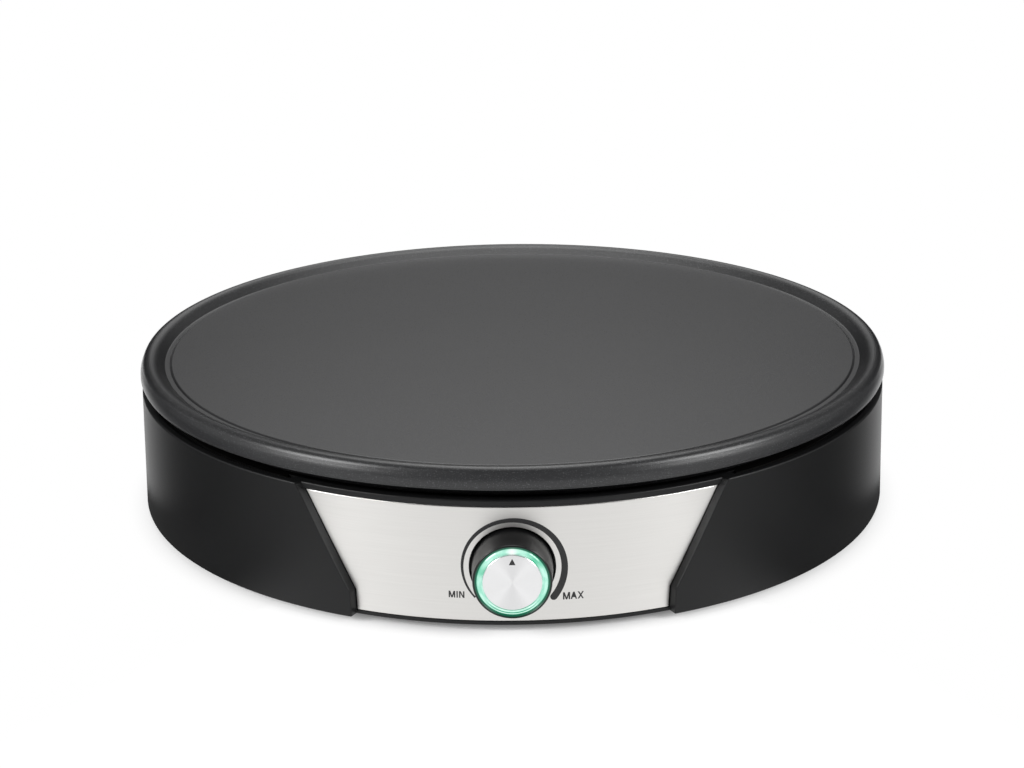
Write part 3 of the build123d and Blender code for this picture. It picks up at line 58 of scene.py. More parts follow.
# Sizes of the CAD nodes. All sizes are in millimetres, apart from those of the lamps and the floor.
_, plate_high = box_mm("cooking_plate")
shell_low, shell_high = box_mm("housing_shell")
panel_low, panel_high = box_mm("front_panel")
_, skirt_high = box_mm("knob_shell")
ring_low, ring_high = box_mm("knob_light_ring")
cap_low, cap_high = box_mm("knob_cap")
gland_low, gland_high = box_mm("cord_gland")
PLATE_RADIUS = plate_high.x
CREST = plate_high.z
DRUM_FOOT = shell_low.z
DRUM_TOP = shell_high.z
DRUM_FOOT_RADIUS = shell_high.x
DRUM_TOP_RADIUS = PLATE_RADIUS - 0.4
PANEL_RADIUS = -panel_low.y
PANEL_LOW = panel_low.z
PANEL_HIGH = panel_high.z
KNOB_Z = (cap_low.z + cap_high.z) / 2
KNOB_BACK = -skirt_high.y
KNOB_FACE = -cap_low.y
RING_FRONT = -ring_low.y
SKIRT_RADIUS = skirt_high.x
RING_RADIUS = ring_high.x
CAP_RADIUS = cap_high.x
GLAND_Z = (gland_low.z + gland_high.z) / 2
GLAND_FLANGE_RADIUS = gland_high.x
GLAND_NOSE_END = gland_high.y

# The plate's section, as in the CAD: its rim, groove and dish.
RIM_WIDTH = 13.5
RIM_HEIGHT = 8.4
RIM_LIP = 1.2
RIM_SHOULDER = 2.1
RIM_BAND = 3.36                # height of the rim's upright band
RIM_STEP = (0.4, 0.8)          # depth and height of the step at the rim's lower edge
RIM_FOOT_WIDTH = 5.0
DISH_DEPTH = 3.2
GROOVE_DEPTH = 0.6
GROOVE_WIDTH = 2.1
SLOPE_WIDTH = 4.8

# The front recess, as in the CAD.
BAND_RADIUS = PANEL_RADIUS + 0.2
SEAT_RADIUS = PANEL_RADIUS - 0.7
STEEL_LOW = PANEL_LOW - 0.15
STEEL_HIGH = PANEL_HIGH + 0.15
SIDE_SEAM = 0.35
RECESS_TOP_HALF = 80.8
RECESS_KINK_HALF = 61.05
RECESS_FOOT_HALF = 60.6
RECESS_KINK = DRUM_FOOT + 10.3
CHEEK_SPREAD_TOP = 1.5
CHEEK_SPREAD_FOOT = 0.57
FLANGE_RADIUS = 158.6
DRUM_WALL = 2.6
FRONT_WALL_BACK = 158.7
FRONT_WALL_HALF = 86.8
KNOB_HOLE_RADIUS = SKIRT_RADIUS + 0.9

# Edges of the skins, as the radii of their rounds.
DRUM_EDGE = 0.7
FOOT_EDGE = 0.4
CHEEK_EDGE = 0.55
SEAT_EDGE = 0.12
SHEET_EDGE = 0.14
SHEET_TOP_EDGE = 0.45
SHEET_SIDE = 0.55              # how far the skin goes down the sheet's sides
SHEET_BACK = 0.5               # the sheet's back lies deeper than this
SEAT_STEP = 0.001              # height over which the sheet's seat opens
SUPPORT = 0.07                 # distance of the points that hold a flat face flat beside a round

# The knob's section.
SKIRT_TAPER = 0.75
SKIRT_CHAMFER = (0.7, 0.5)     # width and depth, at its inner edge
SKIRT_GAP = 0.05               # to the ring
RING_GAP = 0.15                # to the cap
RING_CROWN = (0.3, 0.7)        # half width of its crown, and the drop to its sides
CAP_CHAMFER = 0.18
CAP_WALL = 0.8
CAP_FACE = 0.9                 # thickness of its face

# The bushing's section.
GLAND_BORE = 3.6
GLAND_NOSE = 5.6
GLAND_SLEEVE = 6.4
GLAND_FLANGE = 2.0             # thickness of its flange
GLAND_REACH = 10.19            # from the flange's seat to the nose's end

# Fineness of the skins.
ROUND_STEPS = 6                # along a rounded edge
PLATE_STEPS = 480
KNOB_STEPS = 256
GLAND_STEPS = 128
WALL_STEPS = 220               # along half the drum's wall
BAND_STEPS = 60                # along half the recess
SEAT_LEVELS = 24               # up the sheet's seat
PANEL_RAYS = 320
PANEL_STEPS = 30               # along a ray
SHARP_ANGLE = math.radians(32)    # weaker bends are shaded smooth
MERGE_DISTANCE = 1e-7          # metres

# The printed dial on the steel: a crescent that grows from MIN to MAX, clockwise from the lower left.
SCALE_INNER = 18.6
SCALE_THIN = 0.7
SCALE_THICK = 2.8
SCALE_DROP = 0.2               # how far its centre lies under the knob's axis
SCALE_START = -131.0           # degrees from the top, clockwise
SCALE_END = 128.5
SCALE_STEPS = 128
SCALE_TIP_STEPS = 12
INK_LIFT = 0.03                # height of the ink over the steel

# Each word's middle and baseline, from the knob's axis, then the height and the gaps of its letters.
WORDS = {
    "MIN": (-21.45, -13.0, 2.76, 0.18),
    "MAX": (23.15, -14.1, 3.0, 0.06),
}
LETTER_STROKE = 0.19           # all letter sizes are shares of the letters' height
# Each letter's width, its strokes as places at the foot and at the top, and its crossbar if it has one.
LETTERS = {
    "M": (0.90, [(0.09, 0.09), (0.45, 0.13), (0.45, 0.77), (0.81, 0.81)], None),
    "I": (0.18, [(0.09, 0.09)], None),
    "N": (0.74, [(0.09, 0.09), (0.62, 0.12), (0.65, 0.65)], None),
    "A": (0.84, [(0.10, 0.42), (0.74, 0.42)], (0.18, 0.66, 0.24, 0.39)),
    "X": (0.80, [(0.10, 0.70), (0.70, 0.10)], None),
}

# The pointer on the cap.
POINTER_TIP = 0.87             # shares of the cap's radius
POINTER_BASE = 0.64
POINTER_HALF_WIDTH = 0.112
POINTER_LIFT = 0.02

# Camera: it looks down a little, from slightly right of the front.
CAMERA_REACH = 897.3
CAMERA_DROP = math.radians(18.9)
CAMERA_YAW = math.radians(0.31)
CAMERA_ROLL = math.radians(-0.67)
CAMERA_TARGET = Vector((-0.23, 0.0, 45.06))
CAMERA_LENS = 69.59
CAMERA_SENSOR = 36.0

# The world's own light; then what gloss sees of it, each as two levels and the sines between which the first
# turns into the second.
WORLD_LIGHT = 0.34
GLOSS_FRONT = (1.0, 0.08, 0.02, 0.16)      # upwards in front
GLOSS_BACK = (0.0, 1.75, 0.265, 0.47)      # upwards behind
GLOSS_MIDDLE = (1.0, 0.2, 0.04, 0.34)      # sideways behind
GLOSS_BELOW = (1.0, 0.0, -0.25, -0.05)     # upwards, under the horizon behind
GLOSS_CORNER = (1.5, 0.05, 0.40, 0.80)     # sideways, under the horizon behind
GLOSS_SIDE = (0.0, 0.55, 0.72, 0.96)       # sideways, over the horizon
GLOSS_RISE = (0.0, 1.0, 0.02, 0.15)        # upwards at the sides
GLOSS_TURN = (0.0, 1.0, -0.55, 0.12)       # from the front to the back

# Each softbox's place, width and height in metres, and its power in watts.
LAMP_TARGET = (0.0, 0.0, 0.03)
LAMPS = {
    "overhead": ((0.0, 0.5, 1.6), 1.4, 1.0, 12.0),
    "left_front": ((-1.18, -0.74, 0.80), 0.70, 0.60, 16.5),
    "right_front": ((1.22, -0.70, 0.80), 0.70, 0.60, 16.5),
}

# The floor, in metres: pale paper with a round end behind the object, that runs out in front.
PAPER_HALF = 0.178
PAPER_FRONT = -1.6
PAPER_DROP = 0.05 * MM
PAPER_STEPS = 90
PAPER_FADE = (0.150, 0.176)    # it turns white for the camera between these distances from the middle
PAPER_GLOSS = (1.05, 0.12)     # what gloss sees of it, and of its painted shade at the front's sides
PAPER_SHADE = (78, 98, 132, 146)    # where those fade in and out, in degrees from the back


# --- Node helpers ---


class Tree:
    """A node tree, with short calls for its nodes."""

    def __init__(self, tree):
        self.tree = tree

    def node(self, kind, **settings):
        made = self.tree.nodes.new(kind)
        for key, value in settings.items():
            setattr(made, key, value)
        return made

    def link(self, source, target):
        self.tree.links.new(source, target)

    def put(self, target, value):
        """Sets a socket to a number, or links another node's output to it."""
        if isinstance(value, bpy.types.NodeSocket):
            self.link(value, target)
        else:
            target.default_value = value

    def math(self, operation, first, second=0.0):
        made = self.node("ShaderNodeMath", operation=operation)
        self.put(made.inputs[0], first)
        self.put(made.inputs[1], second)
        return made.outputs[0]

    def split(self, vector):
        made = self.node("ShaderNodeSeparateXYZ")
        self.link(vector, made.inputs[0])
        return made.outputs

    def join(self, x, y, z):
        made = self.node("ShaderNodeCombineXYZ")
        for socket, value in zip(made.inputs, (x, y, z)):
            self.put(socket, value)
        return made.outputs[0]

    def ramp(self, value, low, high, start, end):
        """low before start, high after end, with a soft step between."""
        made = self.node("ShaderNodeMapRange", interpolation_type="SMOOTHSTEP")
        self.put(made.inputs["Value"], value)
        for name, number in (("To Min", low), ("To Max", high), ("From Min", start), ("From Max", end)):
            made.inputs[name].default_value = number
        return made.outputs[0]

    def ease(self, value, start, end):
        """0 before start, 1 after end, with a soft step between."""
        return self.ramp(value, 0.0, 1.0, start, end)

    def spread(self, value, low, high):
        """Maps 0..1 to low..high."""
        made = self.node("ShaderNodeMapRange")
        self.put(made.inputs["Value"], value)
        made.inputs["To Min"].default_value = low
        made.inputs["To Max"].default_value = high
        return made.outputs[0]

    def choose(self, amount, first, second):
        """A blend of two numbers."""
        made = self.node("ShaderNodeMix")
        for name, value in (("Factor", amount), ("A", first), ("B", second)):
            self.put(made.inputs[name], value)
        return made.outputs["Result"]

    def seen(self, *kinds):
        """1 for rays of the given kinds, else 0."""
        path = self.node("ShaderNodeLightPath")
        total = path.outputs[kinds[0]]
        for kind in kinds[1:]:
            total = self.math("MAXIMUM", total, path.outputs[kind])
        return total


class Shader(Tree):
    """A material under construction."""

    def __init__(self, name):
        self.material = bpy.data.materials.new(name)
        self.material.use_nodes = True
        super().__init__(self.material.node_tree)
        self.surface = self.tree.nodes["Principled BSDF"]

    def object_point(self):
        return self.node("ShaderNodeTexCoord").outputs["Object"]

    def noise(self, size, detail=2.0, vector=None):
        """Smooth noise whose grains are about size across."""
        made = self.node("ShaderNodeTexNoise")
        self.link(vector or self.object_point(), made.inputs["Vector"])
        made.inputs["Scale"].default_value = 1.0 / size
        made.inputs["Detail"].default_value = detail
        return made.outputs["Fac"]

    def drawn_noise(self, detail, across, width, up=0.0, height=1.0):
        """Noise drawn out to grains of a width and a height along two measures."""
        place = self.join(self.math("DIVIDE", across, width), 0.0, self.math("DIVIDE", up, height))
        return self.noise(1.0, detail, place)

    def mix(self, amount, first, second):
        """A blend of two colours."""
        made = self.node("ShaderNodeMix", data_type="RGBA")
        self.put(made.inputs["Factor"], amount)
        for socket, colour in ((made.inputs[6], first), (made.inputs[7], second)):
            self.put(socket, colour if isinstance(colour, bpy.types.NodeSocket) else (*colour, 1.0))
        return made.outputs[2]

    def bump(self, height, depth, strength, under=None):
        """A bump of the given depth in metres, over another one if given."""
        made = self.node("ShaderNodeBump")
        made.inputs["Strength"].default_value = strength
        made.inputs["Distance"].default_value = depth
        self.put(made.inputs["Height"], height)
        if under is not None:
            self.link(under, made.inputs["Normal"])
        self.link(made.outputs[0], self.surface.inputs["Normal"])
        return made.outputs[0]

    def brush(self, axis, amount):
        """Draws the gloss out across fine lines that run round an axis."""
        tangent = self.node("ShaderNodeTangent", direction_type="RADIAL", axis=axis)
        self.link(tangent.outputs[0], self.surface.inputs["Tangent"])
        self.set(Anisotropic=amount, Anisotropic_Rotation=0.25)

    def set(self, **values):
        """Sets the surface's sockets by name, with _ for a space."""
        for key, value in values.items():
            socket = self.surface.inputs[key.replace("_", " ")]
            if isinstance(value, tuple) and len(value) == 3:
                value = (*value, 1.0)
            self.put(socket, value)


def shade(tone, factor):
    """A colour made darker or lighter."""
    return tuple(min(1.0, part * factor) for part in tone)


def angle_about(shader, point, axis_z=None):
    """Angle and distance from an axis: the plate's upright axis, or the knob's if its height is given."""
    x, y, z = shader.split(point)
    if axis_z is None:
        across, up = x, y
    else:
        across, up = x, shader.math("SUBTRACT", z, axis_z)
    angle = shader.math("ARCTAN2", across, up)
    squares = shader.math("ADD", shader.math("POWER", across, 2.0), shader.math("POWER", up, 2.0))
    return angle, shader.math("SQRT", squares)


# --- Materials ---


def nonstick_coating():
    """Sprayed dark satin, with fine orange peel and tiny flecks of pigment, which gather on the rim as
    painted sparkle, and a painted sheen that makes it paler at the rim's edge.
    """
    s = Shader("nonstick_coating")
    rim_run = 6.0                  # from the flat outwards
    sheen_start = 2.6               # from the rim's edge inwards
    sheen_end = 0.9
    _, distance = angle_about(s, s.object_point())
    rim = s.ease(distance, (PLATE_RADIUS - RIM_WIDTH) * MM, (PLATE_RADIUS - RIM_WIDTH + rim_run) * MM)
    rim_sheen = s.ease(distance, (PLATE_RADIUS - sheen_start) * MM, (PLATE_RADIUS - sheen_end) * MM)
    peel = s.noise(0.9 * MM, 3.0)
    speck = s.noise(0.42 * MM, 1.0)
    cloud = s.noise(60.0 * MM, 2.0)
    satin = s.noise(0.5 * MM, 2.0)
    # Flecks of pigment, lighter than the coating: the coating's own on the flat, and painted sparkle where
    # they gather on the rim.
    sparkle_flecks = s.math("MULTIPLY", s.ease(speck, 0.60, 0.72), s.spread(rim, 0.12, 1.0))
    tone = s.mix(cloud, (0.009, 0.0091, 0.0096), (0.0125, 0.0127, 0.0134))
    # Painted sheen: the rim's outer band is made paler, standing in for the light that it catches.
    tone = s.mix(rim_sheen, tone, (0.022, 0.0223, 0.0234))
    s.set(
        Base_Color=s.mix(sparkle_flecks, tone, (0.072, 0.073, 0.077)),
        Roughness=s.math("ADD", s.spread(satin, 0.24, 0.34), s.spread(rim, 0.0, 0.02)),
        IOR=1.46,
    )
    s.bump(speck, 0.03 * MM, 0.5, s.bump(peel, 0.02 * MM, 0.5))
    return s.material


def moulded_plastic(name, dark, light, roughness, grain=0.45, depth=0.012, ior=1.45):
    """Moulded plastic with a spark-eroded grain and a faint unevenness of tone."""
    s = Shader(name)
    fine = s.noise(grain * MM, 2.0)
    cloud = s.noise(45.0 * MM, 2.0)
    s.set(
        Base_Color=s.mix(cloud, dark, light),
        Roughness=s.spread(fine, roughness - 0.05, roughness + 0.07),
        IOR=ior,
    )
    s.bump(fine, depth * MM, 0.6)
    return s.material


def knob_plastic():
    """Finely moulded black, with a painted green glow on its inner edge that stands in for the ring's light
    falling there.
    """
    s = Shader("knob_plastic")
    fine = s.noise(0.3 * MM, 2.0)
    _, distance = angle_about(s, s.object_point(), KNOB_Z * MM)
    painted_glow_start = RING_RADIUS - 0.2
    painted_glow_end = RING_RADIUS + 1.0
    away = s.ease(distance, painted_glow_start * MM, painted_glow_end * MM)
    s.set(
        Base_Color=s.mix(fine, (0.0042, 0.0042, 0.0044), (0.006, 0.006, 0.0063)),
        Roughness=s.spread(fine, 0.25, 0.37),
        IOR=1.48,
        # Painted glow: green emission near the ring, for the ring's light on the skirt's inner edge.
        Emission_Color=s.mix(away, (0.0, 0.14, 0.07), (0.0, 0.0, 0.0)),
        Emission_Strength=1.0,
    )
    s.bump(fine, 0.004 * MM, 0.6)
    return s.material


def brushed_steel_panel():
    """Steel brushed along the front's curve, in fine level lines of uneven length."""
    s = Shader("brushed_steel")
    angle, _ = angle_about(s, s.object_point())
    _, _, height = s.split(s.object_point())
    along = s.math("MULTIPLY", angle, PANEL_RADIUS * MM)
    fine = s.drawn_noise(3.0, along, 18.0 * MM, height, 0.16 * MM)
    broad = s.drawn_noise(2.0, along, 55.0 * MM, height, 0.9 * MM)
    lines = s.math("ADD", s.math("MULTIPLY", fine, 0.6), s.math("MULTIPLY", broad, 0.4))
    s.set(
        Base_Color=s.mix(lines, (0.665, 0.655, 0.635), (0.795, 0.785, 0.765)),
        Metallic=1.0,
        Roughness=s.spread(lines, 0.28, 0.42),
    )
    s.brush("Z", 0.6)
    s.bump(lines, 0.006 * MM, 0.35)
    return s.material


def turned_cap():
    """Aluminium faced on a lathe: fine rings about the knob's axis."""
    s = Shader("turned_aluminium")
    _, distance = angle_about(s, s.object_point(), KNOB_Z * MM)
    rings = s.drawn_noise(3.0, distance, 0.09 * MM)
    s.set(
        Base_Color=s.mix(rings, (0.745, 0.745, 0.75), (0.875, 0.875, 0.88)),
        Metallic=1.0,
        Roughness=s.spread(rings, 0.28, 0.40),
    )
    s.brush("Y", 0.77)
    s.bump(rings, 0.004 * MM, 0.4)
    return s.material


def lit_ring():
    """Clear plastic lit green: white at its top lamp, dark at its outer edge, with painted glints in fine
    bright and dark arcs at its foot.
    """
    s = Shader("lit_ring")
    top_lamp = (0.0, 13.0)
    green_places = ((44.0, 24.0, 0.9), (-68.0, 22.0, 0.6))
    glint_start = math.radians(112.0)
    glint_end = math.radians(165.0)
    glint_arc_rate = 15.5
    point = s.node("ShaderNodeNewGeometry").outputs["Position"]
    angle, distance = angle_about(s, point, KNOB_Z * MM)
    across = s.math("DIVIDE", s.math("SUBTRACT", distance, CAP_RADIUS * MM), (RING_RADIUS - CAP_RADIUS) * MM)
    ripple = s.noise(1.0, 3.0, s.join(s.math("MULTIPLY", angle, 2.6), 0.0, s.math("MULTIPLY", across, 1.6)))

    def near(turn, reach):
        """1 at an angle from the top, in degrees, fading to 0 within reach."""
        gap = s.math("ABSOLUTE", s.math("SUBTRACT", angle, math.radians(turn)))
        return s.math("SUBTRACT", 1.0, s.ease(gap, 0.0, math.radians(reach)))

    glow = s.mix(s.ease(ripple, 0.36, 0.62), (0.34, 0.70, 0.56), (0.60, 0.88, 0.78))
    for turn, reach, amount in green_places:
        glow = s.mix(s.math("MULTIPLY", near(turn, reach), amount), glow, (0.02, 0.42, 0.22))
    # Painted glints: bright and dark green arcs across the ring at its foot.
    foot = s.ease(s.math("ABSOLUTE", angle), glint_start, glint_end)
    glint_arcs = s.ease(s.math("SINE", s.math("MULTIPLY", across, glint_arc_rate)), -0.4, 0.6)
    glint_bright = s.math("MULTIPLY", foot, s.math("SUBTRACT", 0.6, glint_arcs))
    glow = s.mix(s.math("MULTIPLY", foot, glint_arcs), glow, (0.0, 0.22, 0.11))
    glow = s.mix(s.math("MAXIMUM", glint_bright, 0.0), glow, (0.85, 1.0, 0.94))
    glow = s.mix(near(*top_lamp), glow, (1.0, 1.0, 1.0))
    glow = s.mix(s.ease(across, 0.84, 0.97), glow, (0.0, 0.07, 0.037))
    s.set(
        Base_Color=(0.03, 0.16, 0.10),
        Roughness=s.spread(ripple, 0.1, 0.22),
        IOR=1.49,
        Emission_Color=glow,
        Emission_Strength=0.92,
        Coat_Weight=0.3,
        Coat_Roughness=0.05,
    )
    s.bump(ripple, 0.02 * MM, 0.3)
    return s.material


def ink():
    """Screen-printed black, a little uneven."""
    s = Shader("print_ink")
    fine = s.noise(0.25 * MM, 2.0)
    s.set(
        Base_Color=s.mix(fine, (0.012, 0.012, 0.013), (0.022, 0.022, 0.023)),
        Roughness=s.spread(fine, 0.42, 0.58),
        IOR=1.45,
    )
    s.bump(fine, 0.004 * MM, 0.4)
    return s.material


def metal(name, dark, light, roughness, size=1.5, stretch=(1.0, 1.0, 1.0)):
    """A plain metal with a mill or plated finish: uneven tone and gloss, with fine drawn lines."""
    s = Shader(name)
    scaled = s.node("ShaderNodeVectorMath", operation="MULTIPLY")
    s.link(s.object_point(), scaled.inputs[0])
    scaled.inputs[1].default_value = stretch
    grain = s.noise(size * MM, 4.0, scaled.outputs[0])
    s.set(
        Base_Color=s.mix(grain, dark, light),
        Metallic=1.0,
        Roughness=s.spread(grain, roughness - 0.08, roughness + 0.1),
    )
    s.bump(grain, 0.01 * MM, 0.3)
    return s.material


def rubber(name, tone):
    """Dull rubber with a dusty, slightly open surface."""
    s = Shader(name)
    fine = s.noise(0.6 * MM, 4.0)
    s.set(
        Base_Color=s.mix(fine, shade(tone, 0.8), shade(tone, 1.3)),
        Roughness=s.spread(fine, 0.72, 0.9),
        IOR=1.5,
    )
    s.bump(fine, 0.03 * MM, 0.6)
    return s.material


def ceramic():
    """Glazed steatite: off-white with tiny dark specks."""
    s = Shader("ceramic")
    fine = s.noise(0.5 * MM, 2.0)
    s.set(
        Base_Color=s.mix(s.ease(fine, 0.62, 0.72), (0.70, 0.68, 0.61), (0.36, 0.33, 0.28)),
        Roughness=s.spread(s.noise(2.0 * MM), 0.22, 0.4),
    )
    s.bump(fine, 0.015 * MM, 0.3)
    return s.material


def woven_sleeve():
    """Glass-fibre sleeving: a fine plain weave in off-white."""
    s = Shader("woven_sleeve")
    rate = 2 * math.pi / (0.7 * MM)
    x, y, z = s.split(s.object_point())
    warp = s.math("SINE", s.math("MULTIPLY", y, rate))
    weft = s.math("SINE", s.math("MULTIPLY", s.math("ADD", x, z), rate))
    weave = s.spread(s.math("MULTIPLY", warp, weft), 0.4, 0.9)
    s.set(
        Base_Color=s.mix(weave, (0.50, 0.48, 0.43), (0.80, 0.79, 0.74)),
        Roughness=s.spread(weave, 0.8, 0.65),
    )
    s.bump(weave, 0.06 * MM, 0.7)
    return s.material


def circuit_board():
    """Green solder mask with copper lands under it."""
    s = Shader("circuit_board")
    lands = s.ease(s.noise(3.0 * MM, 1.0), 0.5, 0.53)
    s.set(
        Base_Color=s.mix(lands, (0.01, 0.09, 0.035), (0.03, 0.17, 0.07)),
        Roughness=s.spread(s.noise(0.4 * MM), 0.25, 0.4),
    )
    s.bump(lands, 0.03 * MM, 0.5)
    return s.material


def wire_insulation(name, tone, stripe=None):
    """Soft insulation with a slight sheen, and a second colour in long stripes if it has one."""
    s = Shader(name)
    fine = s.noise(0.8 * MM, 3.0)
    base = s.mix(fine, shade(tone, 0.85), shade(tone, 1.1))
    if stripe:
        bands = s.ease(s.noise(3.0 * MM, 0.0), 0.49, 0.51)
        base = s.mix(bands, base, stripe)
    s.set(Base_Color=base, Roughness=s.spread(fine, 0.38, 0.52), IOR=1.5)
    s.bump(fine, 0.02 * MM, 0.3)
    return s.material


def paint_nodes():
    """One material for every CAD node."""
    black = (0.0062, 0.0063, 0.0066)
    soft_black = (0.0088, 0.0090, 0.0094)
    housing = moulded_plastic("housing_plastic", black, soft_black, 0.40, ior=1.34)
    zinc = metal("zinc_steel", (0.50, 0.50, 0.50), (0.66, 0.66, 0.67), 0.32)
    brass = metal("brass", (0.60, 0.43, 0.17), (0.78, 0.60, 0.28), 0.28)
    copper = metal("copper", (0.58, 0.27, 0.16), (0.76, 0.42, 0.28), 0.3)
    dark_steel = (0.018, 0.018, 0.018)
    blackened = metal("blackened_steel", dark_steel, (0.035, 0.034, 0.033), 0.5, 6.0, (0.1, 1.0, 1.0))
    glaze = ceramic()
    white_wire = wire_insulation("wire_white", (0.62, 0.61, 0.57))
    finishes = {
        "cooking_plate": nonstick_coating(),
        "heating_element": metal("heat_dark_steel", (0.09, 0.08, 0.075), (0.20, 0.18, 0.165), 0.5),
        "element_insulators": glaze,
        "element_blades": brass,
        "heat_shield": blackened,
        "plate_spacers": glaze,
        "plate_screws": zinc,
        "housing_shell": housing,
        "front_panel": brushed_steel_panel(),
        "bottom_cover": moulded_plastic("cover_plastic", black, soft_black, 0.6, 0.7, 0.02),
        "rubber_feet": rubber("foot_rubber", (0.035, 0.035, 0.035)),
        "cover_screws": zinc,
        "knob_shell": knob_plastic(),
        "knob_light_ring": lit_ring(),
        "knob_cap": turned_cap(),
        "thermostat_spindle": zinc,
        "thermostat_body": moulded_plastic("phenolic", (0.055, 0.028, 0.016), (0.085, 0.045, 0.026), 0.3),
        "thermostat_nut": brass,
        "lamp_board": circuit_board(),
        "lamp_leds": lit_ring(),
        "board_screws": zinc,
        "sensor_bulb": copper,
        "capillary_tube": copper,
        "bulb_clip": zinc,
        "thermal_fuse": woven_sleeve(),
        "fuse_clip": zinc,
        "clip_screws": zinc,
        "earth_screw": zinc,
        "terminal_block": moulded_plastic("terminal_plastic", (0.60, 0.59, 0.53), (0.70, 0.69, 0.63), 0.35),
        "terminal_screws": brass,
        "cord_gland": rubber("gland_rubber", (0.022, 0.022, 0.022)),
        "cord_clamp": moulded_plastic("clamp_plastic", (0.58, 0.57, 0.53), (0.68, 0.67, 0.62), 0.4),
        "clamp_screws": zinc,
        "live_lead": wire_insulation("wire_brown", (0.12, 0.045, 0.018)),
        "switched_lead": wire_insulation("wire_black", (0.02, 0.02, 0.02)),
        "fuse_lead": white_wire,
        "neutral_lead": wire_insulation("wire_blue", (0.02, 0.07, 0.30)),
        "earth_lead": wire_insulation("wire_earth", (0.04, 0.26, 0.05), (0.72, 0.62, 0.04)),
        "lamp_leads": white_wire,
    }
    for node, material in finishes.items():
        for slot in nodes[node].material_slots:
            slot.material = material


# --- Skins over the CAD nodes ---


def rounded(corners):
    """An outline of (across, along) points from (across, along, radius) corners, each bend an arc."""
    places = [Vector(corner[:2]) for corner in corners]
    line = [places[0]]
    for before, here, after, corner in zip(places, places[1:], places[2:], corners[1:]):
        back = (before - here).normalized()
        ahead = (after - here).normalized()
        half = back.angle(ahead) / 2
        radius = corner[2]
        reach = radius / math.tan(half)
        centre = here + (back + ahead).normalized() * radius / math.sin(half)
        start = here + back * reach - centre
        side = -1.0 if back.cross(ahead) > 0 else 1.0
        line.append(centre + start + back * SUPPORT)
        for step in range(ROUND_STEPS + 1):
            turn = side * (math.pi - 2 * half) * step / ROUND_STEPS
            arm = Vector((
                start.x * math.cos(turn) - start.y * math.sin(turn),
                start.x * math.sin(turn) + start.y * math.cos(turn),
            ))
            line.append(centre + arm)
        line.append(line[-1] + ahead * SUPPORT)
    line.append(places[-1])
    return line


def quarter_round(radius):
    """A quarter round's points, each as its distances from the two faces that the round joins."""
    turns = [math.pi / 2 * step / ROUND_STEPS for step in range(ROUND_STEPS + 1)]
    return [(radius * (1 - math.sin(turn)), radius * (1 - math.cos(turn))) for turn in turns]


class Skin:
    """A mesh under construction, in millimetres."""

    def __init__(self):
        self.cells = bmesh.new()

    def row(self, points):
        return [self.cells.verts.new(Vector(point) * MM) for point in points]

    def strip(self, first, second, closed=False, skip=()):
        """Faces between two rows, apart from the places to skip."""
        count = len(first) if closed else len(first) - 1
        for index in range(count):
            after = (index + 1) % len(first)
            if index not in skip:
                self.cells.faces.new((first[index], first[after], second[after], second[index]))

    def lathe(self, outline, place, steps):
        """Turns an outline of (radius, along) points; place(radius, along, angle) gives each point."""
        rows = []
        for index in range(steps):
            angle = 2 * math.pi * index / steps
            rows.append(self.row([place(point.x, point.y, angle) for point in outline]))
        for index in range(steps):
            self.strip(rows[index], rows[(index + 1) % steps])
        bmesh.ops.remove_doubles(self.cells, verts=self.cells.verts, dist=MERGE_DISTANCE)

    def rest(self, node, wanted):
        """Adds the faces of the CAD node that the skin doesn't cover."""
        mesh = nodes[node].data
        made = {}
        for face in mesh.polygons:
            if not wanted(face.center / MM):
                continue
            for index in face.vertices:
                if index not in made:
                    made[index] = self.cells.verts.new(mesh.vertices[index].co)
            self.cells.faces.new([made[index] for index in face.vertices])

    def mesh(self, name):
        """The finished mesh, with its faces turned outwards."""
        bmesh.ops.recalc_face_normals(self.cells, faces=self.cells.faces)
        made = bpy.data.meshes.new(name)
        self.cells.to_mesh(made)
        self.cells.free()
        return made

    def finish(self, name, node, body):
        """Makes the piece, with its node's own finish, and lets it replace the node."""
        mesh = self.mesh(name)
        mesh.polygons.foreach_set("use_smooth", [True] * len(mesh.polygons))
        mesh.set_sharp_from_angle(angle=SHARP_ANGLE)
        piece = add_piece(name, mesh, nodes[node].material_slots[0].material, body)
        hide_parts(node)


def add_piece(name, mesh, material, body):
    """A new object for the mesh, riding on a body."""
    piece = bpy.data.objects.new(name, mesh)
    bpy.context.scene.collection.objects.link(piece)
    piece.data.materials.append(material)
    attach(piece, body)
    return piece


def about_plate(radius, height, angle):
    return radius * math.sin(angle), -radius * math.cos(angle), height


def about_knob(radius, depth, angle):
    return radius * math.sin(angle), -depth, KNOB_Z + radius * math.cos(angle)


def about_cord(radius, depth, angle):
    return radius * math.sin(angle), depth, GLAND_Z + radius * math.cos(angle)


